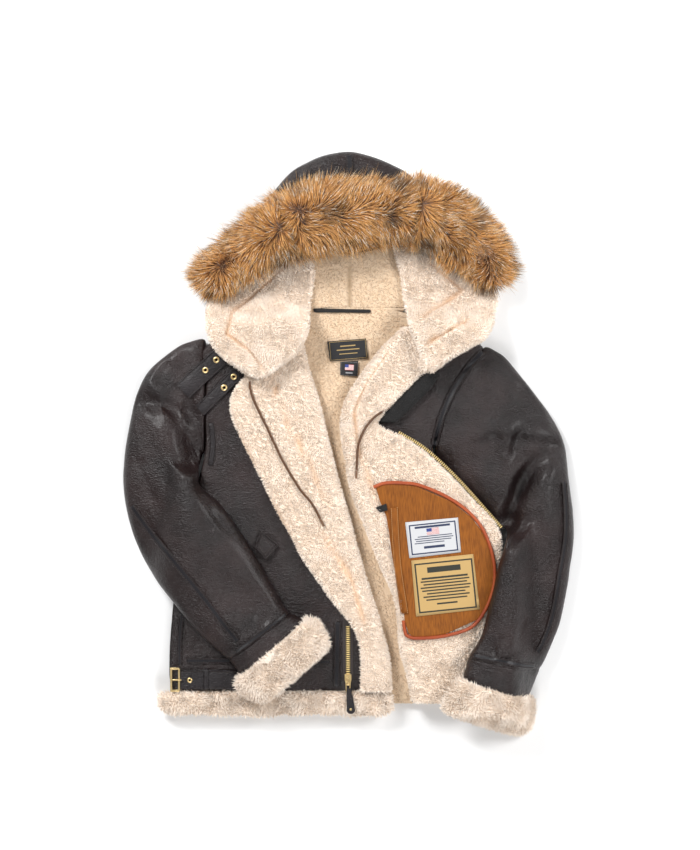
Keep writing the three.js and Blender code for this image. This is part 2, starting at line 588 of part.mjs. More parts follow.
function eyeletGeometry() {
  const profile = [[2.3, -1.6], [2.9, -1.6], [2.9, 0.45], [5.4, 0.45], [4.8, 1.4], [2.8, 1.4]];
  const points = [...profile, profile[0]].map(([r, z]) => new THREE.Vector2(r, z));
  const geometry = bare(new THREE.LatheGeometry(points, 12));
  geometry.rotateX(Math.PI / 2);
  return geometry;
}

const sideRight = track(SIDE_RIGHT, 'y', 'x');
const sideLeft = track(SIDE_LEFT, 'y', 'x');
const foldRight = track(FOLD_RIGHT, 'y', 'x');
const edgeRight = track(EDGE_RIGHT, 'y', 'x');
const foldLeft = track(FOLD_LEFT, 'y', 'x');
const edgeLeft = track(EDGE_LEFT, 'y', 'x');
const smooth = THREE.MathUtils.smoothstep;

// Body
const back = add('back_panel', 'liningPile', panel({
  ys: stations(NECK_Y, BACK_HEM_Y, 12),
  left: sideRight,
  right: sideLeft,
  columns: 6,
  bottom: () => 0,
  top: () => BACK_TOP,
}));
const across = (u, v, z) => new THREE.Vector3(u, v, z);
const frontRight = add('front_right', 'hide', foldedPanel({
  vs: stations(247, FRONT_HEM_Y, 18),
  seam: sideRight,
  fold: foldRight,
  free: edgeRight,
  columns: [8, 4],
  bottom: FRONT_BOTTOM,
  slit: SLIT,
  place: across,
  lowerRelief: (x, y) => foldsAt(FRONT_RIGHT_FOLDS, x, y),
  upperRelief: (x, y) => foldsAt(LAPEL_FOLDS, x, y),
}));
const FLAP_STATIONS = [
  ...stations(235, 112, 5), ...stations(100, 50, 5, 5), ...stations(35, -384, 11, 12),
];
const frontLeft = add('front_left', 'hide', foldedPanel({
  vs: FLAP_STATIONS,
  seam: sideLeft,
  fold: foldLeft,
  free: edgeLeft,
  columns: [5, 6],
  bottom: FRONT_BOTTOM,
  slit: SLIT,
  place: across,
  lowerRelief: () => 0,
  upperRelief: (x, y) => foldsAt(FLAP_FOLDS, x, y),
}));
const hemWave = (x) => 2.5 * Math.sin(x / 31) + 1.5 * Math.sin(x / 13);
add('hem_fur_right', 'pile', (() => {
  const xs = stations(-307, 77, 16, 10);
  const inset = (x) => 16 * (1 - smooth(x, -307, -290)) + 8 * smooth(x, 64, 77);
  const rows = [0, 0.16, 0.5, 0.84, 1];
  const lip = [0.35, 0, 0, 0.12, 0.42];
  const span = HEM_TOP - FRONT_BOTTOM;
  const point = (x, share, z) => {
    const upper = FRONT_HEM_Y - SEAM - inset(x) * 0.5;
    const lower = HEM_FUR_Y + inset(x) - hemWave(x) * 0.5;
    return new THREE.Vector3(x, THREE.MathUtils.lerp(upper, lower, share), z);
  };
  const outer = xs.map((x) => rows.map((s, i) => point(x, s, HEM_TOP - span * lip[i])));
  const inner = xs.map((x) => rows.map((s, i) => point(x, s, FRONT_BOTTOM + span * lip[i] * 0.8)));
  return wall(outer, inner);
})());

// Sleeves, each resting on the table or on the body under it
const underRight = (x, y) => {
  const level = FRONT_TOP + 0.8 + 8.2 * smooth(-y, 200, 280);
  const overBody = smooth(x, sideRight(y) - 62, sideRight(y) - 12);
  return level * overBody * smooth(-y, -12, 8);
};
const sleeveRight = add('sleeve_right', 'hide', flatTube({
  rows: SLEEVE_RIGHT, rings: 24, points: 18, base: underRight, folds: SLEEVE_RIGHT_FOLDS,
}));
add('cuff_band_right', 'hide', flatTube({
  rows: CUFF_BAND_RIGHT, rings: 3, points: 18, base: underRight, thickness: 14,
}));
add('cuff_fur_right', 'pile', flatTube({
  rows: CUFF_FUR_RIGHT, rings: 6, points: 18, base: underRight, thickness: 17,
}));
const underLeft = (x, y) => {
  const level = FLAP_TOP + 5.8;
  const overBody = 1 - smooth(x, 266, 322);
  return level * overBody * smooth(-y, 94, 114) * (1 - smooth(-y, 394, 440));
};
const sleeveLeft = add('sleeve_left', 'hide', flatTube({
  rows: SLEEVE_LEFT, rings: 24, points: 18, base: underLeft, folds: SLEEVE_LEFT_FOLDS,
}));
add('cuff_band_left', 'hide', flatTube({
  rows: CUFF_BAND_LEFT, rings: 3, points: 18, base: underLeft, thickness: 14,
}));
add('cuff_fur_left', 'pile', flatTube({
  rows: CUFF_FUR_LEFT, rings: 6, points: 18, base: underLeft, thickness: 17,
}));

// Hood: a bag whose lower sheet is the lining that shows and whose upper sheet is the crown
const neckLine = () => NECK_Y + SEAM;
const hoodShell = add('hood_shell', 'hide', foldedPanel({
  vs: stations(-122, 137, 11),
  seam: neckLine,
  fold: track(HOOD_CROWN, 'x', 'y'),
  free: track(HOOD_FRONT, 'x', 'y'),
  columns: [6, 5],
  bottom: 0,
  slit: HOOD_SLIT,
  place: (u, v, z) => new THREE.Vector3(v, u, z),
  lowerRelief: () => 0,
  upperRelief: (u, v) => foldsAt(CROWN_FOLDS, v, u),
}));
const sideBottom = (x, y) => (
  THREE.MathUtils.lerp(FLAP_TOP + 4.4, BACK_TOP + SEAM, smooth(y, 250, 276))
  * (1 - smooth(Math.abs(x), 176, 200) * smooth(y, 285, 325))
);
const sideTop = (folds) => (x, y) => (
  THREE.MathUtils.lerp(FLAP_TOP + 27, HOOD_SIDE_TOP, smooth(y, 236, 289))
  + foldsAt(folds, x, y) * (1 - smooth(y, 262, 284))
);
add('hood_side_right', 'pile', panel({
  ys: stations(362, 152, 10),
  left: track(HOOD_SIDE_RIGHT_OUTER, 'y', 'x'),
  right: track(HOOD_SIDE_RIGHT_INNER, 'y', 'x'),
  columns: 7,
  bottom: sideBottom,
  top: sideTop(HOOD_SIDE_RIGHT_FOLDS),
}));
add('hood_side_left', 'pile', panel({
  ys: stations(373, 162, 10),
  left: track(HOOD_SIDE_LEFT_INNER, 'y', 'x'),
  right: track(HOOD_SIDE_LEFT_OUTER, 'y', 'x'),
  columns: 7,
  bottom: sideBottom,
  top: sideTop(HOOD_SIDE_LEFT_FOLDS),
}));

const sideEdgeRight = track([
  { x: -236, y: 280 }, { x: -222, y: 305 }, { x: -210, y: 322 }, { x: -170, y: 343 }, { x: -125, y: 362 },
], 'x', 'y');
const sideEdgeLeft = track([
  { x: 258, y: 290 }, { x: 251, y: 297 }, { x: 240, y: 322 }, { x: 215, y: 343 }, { x: 157, y: 373 },
], 'x', 'y');
/** What the fur strip lies on: the crown, the hood's turned out sides, or beyond them the table. */
const underRuff = (x, y) => {
  const sideEdge = x < 0 ? sideEdgeRight(x) : sideEdgeLeft(x);
  const beyondCrown = x < 0 ? smooth(-x, 148, 176) : smooth(x, 163, 191);
  const beyondSide = smooth(y, sideEdge + 12, sideEdge + 40);
  const level = THREE.MathUtils.lerp(HOOD_SIDE_TOP + 3, 0, beyondSide);
  return THREE.MathUtils.lerp(HOOD_TOP + 3, level, beyondCrown);
};

/** One length of the fur strip: flat where it is sewn on, round above. */
function ruffLength(from, to, rings) {
  const numbered = RUFF.map((row, i) => ({ ...row, i }));
  const spots = RUFF.map((r) => new THREE.Vector3(r.x, r.y, 0));
  const line = new THREE.CatmullRomCurve3(spots, false, 'centripetal');
  const half = track(numbered, 'i', 'half');
  const height = track(numbered, 'i', 'height');
  const points = 14;
  const outer = [];
  const inner = [];
  for (let ring = 0; ring < rings; ring += 1) {
    const t = THREE.MathUtils.lerp(from, to, ring / (rings - 1));
    const i = t * (RUFF.length - 1);
    const centre = line.getPoint(t);
    const along = line.getTangent(t);
    const side = new THREE.Vector3(-along.y, along.x, 0);
    const tops = [];
    const unders = [];
    for (let k = 0; k <= points / 2; k += 1) {
      const c = Math.cos((2 * Math.PI * k) / points);
      const p = centre.clone().addScaledVector(side, c * half(i));
      const rise = height(i) * (0.3 + 0.7 * Math.sqrt(1 - c * c));
      const rim = k === 0 || k === points / 2;
      const bottom = underRuff(p.x, p.y);
      const crown = (bottom + underRuff(centre.x, centre.y)) / 2 + rise;
      tops.push(new THREE.Vector3(p.x, p.y, rim ? bottom + height(i) * 0.34 : crown));
      unders.push(new THREE.Vector3(p.x, p.y, bottom + (rim ? height(i) * 0.16 : 0)));
    }
    outer.push(tops);
    inner.push(unders);
  }
  return wall(outer, inner);
}
const RUFF_SEAM = 0.0008;
const RUFF_LENGTHS = [
  { name: 'ruff_right', from: 0, to: 0.34, rings: 8 },
  { name: 'ruff_top', from: 0.34, to: 0.64, rings: 7 },
  { name: 'ruff_left', from: 0.64, to: 1, rings: 8 },
];
RUFF_LENGTHS.forEach(({ name, from, to, rings }) => {
  add(name, 'ruff', ruffLength(from + RUFF_SEAM * (from > 0), to - RUFF_SEAM * (to < 1), rings));
});

add('collar_wool', 'blackPile', panel({
  ys: stations(160, 80, 7, 5),
  left: (y) => edgeLeft(y) + 2,
  right: track([
    { y: 160, x: 155 }, { y: 140, x: 144 }, { y: 119, x: 124 }, { y: 99, x: 104 }, { y: 80, x: 84 },
  ], 'y', 'x'),
  columns: 3,
  bottom: () => FRONT_TOP + SEAM,
  top: () => FRONT_TOP + 11,
}));
add('hanger_strip', 'blackPile', patch({
  corners: [[-50, 268], [40, 266], [40, 261], [-50, 262]],
  rows: 2, columns: 6, thickness: 2.4, over: [back, hoodShell], reach: 1,
}));

// Seam tapes
const TAPES = [
  {
    name: 'tape_sleeve_right', over: [sleeveRight], steps: 16, width: 10, reach: 5,
    route: [[-352, -60], [-322, -101], [-289, -137], [-256, -177], [-223, -218], [-196, -254], [-176, -278]],
  },
  {
    name: 'tape_cuff_right', over: [sleeveRight], steps: 8, width: 9,
    route: [[-178, -296], [-137, -266], [-97, -236]],
  },
  {
    name: 'tape_cuff_left', over: [sleeveLeft], steps: 9, width: 9, reach: 6,
    route: [[210, -301], [260, -310], [312, -324]],
  },
  {
    name: 'tape_armhole_left', over: [sleeveLeft, frontLeft], steps: 14, width: 11,
    route: [[228, 196], [206, 172], [181, 135], [163, 96], [152, 60], [148, 40]],
  },
  {
    name: 'tape_sleeve_left', over: [sleeveLeft], steps: 16, width: 9, reach: 2,
    route: [[362, -20], [365, -66], [364, -116], [354, -176], [345, -231], [331, -276], [318, -300]],
  },
  {
    name: 'tape_hem_right', over: [frontRight], steps: 8, width: 9,
    route: [[-262, -316], [-150, -316], [-26, -318]],
  },
  {
    name: 'tape_front_right', over: [frontRight], steps: 5, width: 11,
    route: [[-12, -252], [-13, -300], [-14, -358]],
  },
  {
    name: 'tape_side_right', over: [frontRight], steps: 4, width: 8,
    route: [[-270, -238], [-274, -280], [-274, -322]],
  },
  { name: 'tape_hood', over: [hoodShell], steps: 4, width: 12, route: [[7, 520], [8, 500], [9, 482]] },
];
TAPES.forEach(({ name, ...shape }) => add(name, 'tape', strip({ thickness: 1.6, ...shape })));

// Collar straps with their eyelets
const strapUpper = add('collar_strap_upper', 'tape', strip({
  route: [[-204, 189], [-236, 160], [-268, 130]],
  width: 31, steps: 8, columns: 4, thickness: 2.4, over: [frontRight, sleeveRight],
}));
const strapLower = add('collar_strap_lower', 'tape', strip({
  route: [[-175, 163], [-208, 130], [-240, 98]],
  width: 21, steps: 8, columns: 3, thickness: 2.4, over: [frontRight, sleeveRight],
}));
EYELETS.forEach(([x, y], i) => {
  const strap = i < 2 ? strapUpper : strapLower;
  const eyelet = eyeletGeometry();
  eyelet.applyMatrix4(seat(strap, x, y, 0.1));
  add(`eyelet_${i + 1}`, 'brass', eyelet);
});
[[strapUpper, EYELETS.slice(0, 2)], [strapLower, EYELETS.slice(2)]].forEach(([strap, places]) => {
  strap.geometry = punched(strap, places, 3.3);
});
add('strap_loop', 'tape', strip({
  route: [[-222, 78], [-219, 40], [-223, 8]], width: 7, steps: 6, thickness: 2.4, over: [frontRight],
}));

// Waist strap, its keeper, buckle and eyelet
const waistStrap = add('waist_strap', 'tape', strip({
  route: [[-280, -347], [-216, -347], [-150, -348]],
  width: 31, steps: 9, columns: 2, thickness: 2.4, over: [frontRight],
}));
add('waist_keeper', 'tape', strip({
  route: [[-230, -329], [-230, -347], [-230, -365]],
  width: 8, steps: 8, thickness: 1.8, over: [frontRight, waistStrap], reach: 3,
}));
add('waist_buckle', 'brass', (() => {
  const frame = new THREE.Shape();
  frame.moveTo(-8, -20).lineTo(6, -20).lineTo(8, -18).lineTo(8, 18).lineTo(6, 20).lineTo(-8, 20);
  const hole = new THREE.Path();
  hole.moveTo(-5, -16.5).lineTo(-5, 16.5).lineTo(5, 16.5).lineTo(5, -16.5);
  frame.holes.push(hole);
  const geometry = bare(new THREE.ExtrudeGeometry(frame, { depth: 2.6, bevelEnabled: false }));
  return geometry.translate(-281, -347, FRONT_TOP + 2 * SEAM + 2.4);
})());
add('waist_prong', 'brass', bare(
  new THREE.BoxGeometry(15, 2.4, 1.8),
).translate(-278, -347, FRONT_TOP + 7.1));
const waistEyelet = eyeletGeometry();
waistEyelet.scale(0.8, 0.8, 0.8);
waistEyelet.applyMatrix4(seat(waistStrap, ...WAIST_EYELET, 0.1));
add('waist_eyelet', 'brass', waistEyelet);
waistStrap.geometry = punched(waistStrap, [WAIST_EYELET], 2.8);
add('pocket_flap_tab', 'hide', patch({
  corners: [[-139, -101], [-110, -124], [-131, -150], [-150, -128]],
  rows: 4, columns: 4, thickness: 5, over: [frontRight], reach: 3,
}));

// Front zip: the right half lies on the hide, the left half edges the flap
const TAPE_BOTTOM = FRONT_TOP + SEAM;
const flat = (z) => () => z;
add('zip_tape_right', 'tape', panel({
  ys: stations(-240, -364, 3),
  left: flat(-4),
  right: flat(14),
  columns: 2,
  bottom: flat(TAPE_BOTTOM),
  top: flat(TAPE_BOTTOM + 0.8),
}));
add('zip_chain_right', 'brass', panel({
  ys: stations(-259, SLIDER.y + SLIDER.length / 2 + SEAM, 3, 2),
  left: flat(SLIDER.x - 4),
  right: flat(SLIDER.x + 4),
  columns: 2,
  bottom: flat(TAPE_BOTTOM + 1.2),
  top: flat(TAPE_BOTTOM + 3.6),
}));
const ZIP_FROM = 58;
const ZIP_TO = -98;
add('zip_tape_left', 'tape', panel({
  ys: stations(ZIP_FROM, ZIP_TO, 9),
  left: (y) => edgeLeft(y) - 7,
  right: (y) => edgeLeft(y) + 9,
  columns: 2,
  bottom: flat(FLAP_BOTTOM - 1.3),
  top: flat(FLAP_BOTTOM - 0.5),
}));
add('zip_chain_left', 'brass', panel({
  ys: stations(ZIP_FROM, ZIP_TO, 9, 2),
  left: (y) => edgeLeft(y) + 1.2,
  right: (y) => edgeLeft(y) + 9,
  columns: 2,
  bottom: flat(FLAP_BOTTOM - 0.1),
  top: flat(FLAP_BOTTOM + 2.6),
}));
const pivot = new THREE.Vector3(SLIDER.x, SLIDER.y - 3, SLIDER.bottom + SLIDER.height + 1.6);
add('zip_slider', 'brass', (() => {
  const body = new THREE.Shape();
  const w = SLIDER.width / 2;
  const l = SLIDER.length / 2;
  body.moveTo(-w, l).lineTo(w, l).lineTo(w, 0).lineTo(w * 0.62, -l).lineTo(-w * 0.62, -l).lineTo(-w, 0);
  const block = bare(new THREE.ExtrudeGeometry(body, { depth: SLIDER.height, bevelEnabled: false }));
  block.translate(SLIDER.x, SLIDER.y, SLIDER.bottom);
  const arch = new THREE.Shape();
  arch.moveTo(-6, -0.5).lineTo(-6, 2.6).lineTo(-4.6, 4.4).lineTo(4.6, 4.4).lineTo(6, 2.6).lineTo(6, -0.5);
  arch.lineTo(4.4, -0.5).lineTo(4.4, 3).lineTo(-4.4, 3).lineTo(-4.4, -0.5);
  const bridge = bare(new THREE.ExtrudeGeometry(arch, { depth: 2, bevelEnabled: false }));
  bridge.rotateX(Math.PI / 2).rotateZ(Math.PI / 2);
  bridge.translate(SLIDER.x - 1, SLIDER.y - 1.2, SLIDER.bottom + SLIDER.height);
  return toGeometry(toSolid(block).add(toSolid(bridge)));
})());
add('zip_pull_link', 'brass', (() => {
  const ring = new THREE.Shape();
  ring.moveTo(-4.5, 1).lineTo(4.5, 1).lineTo(3.6, -15).lineTo(2.4, -17).lineTo(-2.4, -17).lineTo(-3.6, -15);
  const hole = new THREE.Path();
  hole.moveTo(-3, -1).lineTo(-2, -14.6).lineTo(2, -14.6).lineTo(3, -1);
  ring.holes.push(hole);
  const geometry = bare(new THREE.ExtrudeGeometry(ring, { depth: 1.6, bevelEnabled: false }));
  return geometry.translate(pivot.x, pivot.y, pivot.z - 0.8);
})());
add('zip_pull_leather', 'tape', (() => {
  const tab = new THREE.Shape();
  tab.moveTo(-3.6, -10.5).lineTo(3.6, -10.5).lineTo(7, -42);
  tab.absarc(0, -46, 7, 0.45, Math.PI - 0.45, true);
  const cut = { depth: 3.2, curveSegments: 8, bevelEnabled: false };
  const geometry = bare(new THREE.ExtrudeGeometry(tab, cut));
  geometry.translate(0, 0, -1.6);
  const slotCut = bare(new THREE.BoxGeometry(8.6, 8.2, 2.3)).translate(0, -13.4, 0);
  return toGeometry(toSolid(geometry).subtract(toSolid(slotCut)))
    .rotateZ(0.1).translate(pivot.x, pivot.y, pivot.z);
})());
add('zip_pull_stud', 'brass', (() => {
  const stud = bare(new THREE.CylinderGeometry(1.6, 2.2, 1, 12)).rotateX(Math.PI / 2);
  return stud.translate(pivot.x + 4.4, pivot.y - 45, pivot.z + 2.5);
})());

// Inner pocket on the flap, with its binding, welt and labels
const pocket = add('pocket_panel', 'pocketHide', (() => {
  const resting = (x, y) => restOn([frontLeft], x, y, 8);
  return panel({
    ys: stations(-23.5, -274, 11, 4),
    left: track(POCKET_INNER, 'y', 'x'),
    right: track(POCKET_OUTER, 'y', 'x'),
    columns: 6,
    bottom: resting,
    top: (x, y) => resting(x, y) + 2,
  });
})());
add('pocket_binding', 'binding', cord({
  route: [
    [46, -26], [66, -19], [99, -19], [124, -23], [165, -40], [200, -63], [225, -90], [240.5, -123],
    [248.5, -157], [247.5, -191], [236.5, -225], [220, -251], [200, -265.5], [166, -275], [136, -278.5],
    [110, -278.5], [100, -274], [95.5, -262], [94, -248],
  ],
  radius: 1.9, steps: 36, sides: 3, over: [frontLeft],
}));
add('pocket_welt', 'pocketHide', strip({
  route: [[81, -62], [86, -150], [98, -236]], width: 12, steps: 8, thickness: 2.4,
  over: [pocket, frontLeft], reach: 6,
}));
add('pocket_loop', 'blackPile', patch({
  corners: [[50, -62], [68, -55], [70, -66], [58, -70]],
  rows: 2, columns: 2, thickness: 3, over: [pocket, frontLeft], reach: 2,
}));
add('label_white', 'whiteLabel', patch({
  corners: [[99, -86], [186, -78], [191, -135], [106, -145]],
  rows: 3, columns: 4, thickness: 0.8, over: [pocket], reach: 2,
}));
add('label_ochre', 'ochreLabel', patch({
  corners: [[109, -149], [211, -138], [222, -229], [117, -241]],
  rows: 4, columns: 4, thickness: 0.8, over: [pocket], reach: 2,
}));
add('neck_label', 'blackLabel', patch({
  corners: [[-30, 213], [35, 218], [38, 185], [-25, 180]], rows: 2, columns: 3, thickness: 0.9,
  over: [back], reach: 1,
}));
add('size_label', 'blackLabel', patch({
  corners: [[-8, 179], [22, 181], [21, 155], [-8, 157]], rows: 2, columns: 2, thickness: 0.9,
  over: [back], reach: 1,
}));

// Drawcords of the hood, with their tips
const CORDS = [
  { side: 'right', route: CORD_RIGHT, over: [frontRight], steps: 30 },
  { side: 'left', route: CORD_LEFT, over: [frontLeft], steps: 16 },
];
CORDS.forEach(({ side, route, over, steps }) => {
  add(`drawcord_${side}`, 'lace', cord({ route, radius: CORD_RADIUS, steps, sides: 3, over }));
  const end = new THREE.Vector2(...route[route.length - 1]);
  const before = new THREE.Vector2(...route[route.length - 2]);
  const along = end.clone().sub(before).normalize();
  const from = end.clone().addScaledVector(along, SEAM);
  const to = end.clone().addScaledVector(along, AGLET_LENGTH);
  add(`aglet_${side}`, 'tape', cord({
    route: [from.toArray(), to.toArray()], radius: CORD_RADIUS + 0.2, steps: 3, sides: 3, over,
  }));
});

export default coat;
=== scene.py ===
"""Dresses a hooded shearling flying coat that lies on its back with the fronts opened out.

Tables are in millimetres in the coat's own frame: X across, towards the wearer's left, Y from hem to
hood and Z up from the table it lies on. Everything that Blender gets is in metres.
"""

import json
import logging
import math
from dataclasses import dataclass, field
from enum import Enum
from typing import Callable, Mapping, Sequence

import bmesh
import bpy
import numpy as np
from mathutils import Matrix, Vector, noise
from mathutils.bvhtree import BVHTree

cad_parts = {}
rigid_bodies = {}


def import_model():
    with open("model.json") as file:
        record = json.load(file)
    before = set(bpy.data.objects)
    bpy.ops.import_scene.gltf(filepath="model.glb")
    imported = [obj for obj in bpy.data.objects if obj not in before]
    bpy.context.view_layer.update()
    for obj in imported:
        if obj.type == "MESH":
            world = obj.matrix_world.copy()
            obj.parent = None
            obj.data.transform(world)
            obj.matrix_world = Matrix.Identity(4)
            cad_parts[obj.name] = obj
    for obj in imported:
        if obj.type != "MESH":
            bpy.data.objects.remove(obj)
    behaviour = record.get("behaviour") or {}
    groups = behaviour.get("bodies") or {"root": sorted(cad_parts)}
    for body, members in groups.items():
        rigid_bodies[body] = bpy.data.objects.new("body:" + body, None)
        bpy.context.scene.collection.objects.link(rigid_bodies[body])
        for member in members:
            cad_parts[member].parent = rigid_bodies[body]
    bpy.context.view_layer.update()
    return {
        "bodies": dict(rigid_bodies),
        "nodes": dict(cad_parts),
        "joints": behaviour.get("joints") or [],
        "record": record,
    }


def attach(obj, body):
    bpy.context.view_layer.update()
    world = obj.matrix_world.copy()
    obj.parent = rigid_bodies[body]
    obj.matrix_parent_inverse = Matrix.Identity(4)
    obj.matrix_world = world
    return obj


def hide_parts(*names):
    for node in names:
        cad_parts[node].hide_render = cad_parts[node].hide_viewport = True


LOG = logging.getLogger("coat")
MM = 0.001
COAT = "coat"
PULL = "zip_pull"
DOWN = Vector((0, 0, -1))
UP = Vector((0, 0, 1))
# Noise vectors start at another shift in each session unless a seed is set
NOISE_SEED = 1796000819

# Levels of the layers that lie on each other
FRONT_TOP = 28.4
FLAP_BOTTOM = 31.4
HOOD_LINING = 14.0
HOOD_CROWN_UNDERSIDE = 24.0
# Hair that would stand higher than this is bent over, within so many millimetres more
HAIR_EASES = 96.0
HAIR_SPAN = 15.0
# Hair that would hang lower than this is bent up, within so many millimetres
HAIR_FLOOR = 1.5
FLOOR_SPAN = 1.2
# Hair grows neither lower than this nor on faces that look down more than this
HAIR_LOWEST = 4.0
HAIR_STEEPEST = -0.35
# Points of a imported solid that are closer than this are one, in metres
WELD = 2e-5
# How far over a packed surface its dressed one may lie
DRESS_REACH = 9.0
# From one place to the next along a seam or edge
SEAM_STEP = 3.0
# Heights to look down from: over the lower layers, the neck, the straps, the pocket and everything
OVER_FRONT = 34.0
OVER_NECK = 30.0
OVER_STRAPS = 60.0
OVER_POCKET = 70.0
OVER_ALL = 120.0
# Tufts on a square metre
PILE_DENSITY = 290000.0
EDGE_DENSITY = 300000.0
LINING_DENSITY = 230000.0
WOOL_DENSITY = 260000.0
RUFF_DENSITY = 205000.0
WISP_DENSITY = 26000.0

Colour = tuple[float, float, float, float]
Point = tuple[float, float]
Place = tuple[float, float, float]


def rgb(red: float, green: float, blue: float) -> Colour:
    """A solid colour from three linear values."""
    return (red, green, blue, 1.0)


class Value:
    """An output socket that sums and products can be written with."""

    def __init__(self, graph: "Graph", socket: bpy.types.NodeSocket) -> None:
        """Keeps the socket and the graph that it belongs to."""
        self.graph = graph
        self.socket = socket

    def _maths(self, operation: str, first: "Value | float", second: "Value | float") -> "Value":
        """A Math node on two values."""
        return self.graph.node("ShaderNodeMath", {"operation": operation}, {0: first, 1: second})

    def __add__(self, other: "Value | float") -> "Value":
        """The sum."""
        return self._maths("ADD", self, other)

    __radd__ = __add__

    def __sub__(self, other: "Value | float") -> "Value":
        """The difference."""
        return self._maths("SUBTRACT", self, other)

    def __rsub__(self, other: "Value | float") -> "Value":
        """The difference, from the other side."""
        return self._maths("SUBTRACT", other, self)

    def __mul__(self, other: "Value | float") -> "Value":
        """The product."""
        return self._maths("MULTIPLY", self, other)

    __rmul__ = __mul__

    def above(self, level: float) -> "Value":
        """1 where the value is over a level, else 0."""
        return self._maths("GREATER_THAN", self, level)

    def below(self, level: float) -> "Value":
        """1 where the value is under a level, else 0."""
        return self._maths("LESS_THAN", self, level)

    def within(self, low: float, high: float) -> "Value":
        """1 where the value lies between two levels, else 0."""
        return self.above(low) * self.below(high)

    def wave(self) -> "Value":
        """The sine."""
        return self._maths("SINE", self, 0.0)

    def clamp(self) -> "Value":
        """The value kept from 0 to 1."""
        return self.graph.node("ShaderNodeClamp", {}, {0: self})


class Graph:
    """One material's nodes, ending in a Principled shader."""

    def __init__(self, name: str) -> None:
        """Makes the material with its shader and output."""
        self.material = bpy.data.materials.new(name)
        self.material.use_nodes = True
        self.tree = self.material.node_tree
        self.tree.nodes.clear()
        self.shader = self.tree.nodes.new("ShaderNodeBsdfPrincipled")
        output = self.tree.nodes.new("ShaderNodeOutputMaterial")
        self.tree.links.new(self.shader.outputs[0], output.inputs[0])

    def node(self, kind: str, settings: Mapping, sockets: Mapping, out: int | str = 0) -> Value:
        """Adds a node.

        Args:
            kind: The node's type.
            settings: Its settings, such as an operation, or a ramp's stops.
            sockets: Values or links for its inputs, by number or name.
            out: Which output is wanted.

        Returns:
            That output, ready for more maths.
        """
        made = self.tree.nodes.new(kind)
        for key, value in settings.items():
            if key == "stops":
                self._stops(made.color_ramp, value)
            else:
                setattr(made, key, value)
        for key, value in sockets.items():
            self._feed(made.inputs[key], value)
        return Value(self, made.outputs[out])

    def _stops(self, ramp: bpy.types.ColorRamp, stops: Sequence[tuple[float, Colour]]) -> None:
        """Sets a ramp's stops."""
        while len(ramp.elements) < len(stops):
            ramp.elements.new(0.5)
        for element, (place, colour) in zip(ramp.elements, stops):
            element.position = place
            element.color = colour

    def _feed(self, socket: bpy.types.NodeSocket, value: "Value | float | Sequence[float]") -> None:
        """Links a value to a socket, or sets the socket's own number."""
        if isinstance(value, Value):
            self.tree.links.new(value.socket, socket)
        else:
            socket.default_value = value

    def place(self) -> Value:
        """Object coordinates."""
        return self.node("ShaderNodeTexCoord", {}, {}, "Object")

    def attribute(self, name: str) -> Value:
        """A number that the mesh carries."""
        return self.node("ShaderNodeAttribute", {"attribute_name": name}, {}, "Fac")

    def noise(self, place: Value, scale: float, detail: float = 2.0) -> Value:
        """Soft noise, from 0 to 1."""
        return self.node("ShaderNodeTexNoise", {}, {"Vector": place, "Scale": scale, "Detail": detail})

    def cells(self, place: Value, scale: float, feature: str = "F1") -> Value:
        """Distance inside a pattern of cells, to their centres or their edges."""
        sockets = {"Vector": place, "Scale": scale}
        return self.node("ShaderNodeTexVoronoi", {"feature": feature}, sockets, "Distance")

    def bent(self, place: Value, scale: float, amount: float) -> Value:
        """Coordinates shifted by noise, so that a pattern loses its regularity."""
        wobble = self.node("ShaderNodeTexNoise", {}, {"Vector": place, "Scale": scale}, "Color")
        shift = self.node("ShaderNodeVectorMath", {"operation": "SCALE"}, {0: wobble, "Scale": amount})
        return self.node("ShaderNodeVectorMath", {"operation": "ADD"}, {0: place, 1: shift})

    def stretched(self, place: Value, scale: Sequence[float]) -> Value:
        """Coordinates scaled by axis."""
        return self.node("ShaderNodeMapping", {}, {"Vector": place, "Scale": scale})

    def blend(self, share: Value, first: "Value | Colour", second: "Value | Colour") -> Value:
        """A mix of two colours."""
        return self.node("ShaderNodeMix", {"data_type": "RGBA"}, {0: share, 6: first, 7: second}, 2)

    def ramp(self, share: Value, stops: Sequence[tuple[float, Colour]]) -> Value:
        """A colour from a ramp."""
        return self.node("ShaderNodeValToRGB", {"stops": stops}, {0: share})

    def bump(self, height: Value, distance: float, strength: float, normal: Value | None = None) -> Value:
        """A bumped normal."""
        sockets = {"Height": height, "Distance": distance, "Strength": strength}
        if normal is not None:
            sockets["Normal"] = normal
        return self.node("ShaderNodeBump", {}, sockets, "Normal")

    def surface(self, **sockets: "Value | float | Colour") -> bpy.types.Material:
        """Feeds the shader's sockets, named with underscores for spaces, and returns the material."""
        for key, value in sockets.items():
            self._feed(self.shader.inputs[key.replace("_", " ")], value)
        return self.material


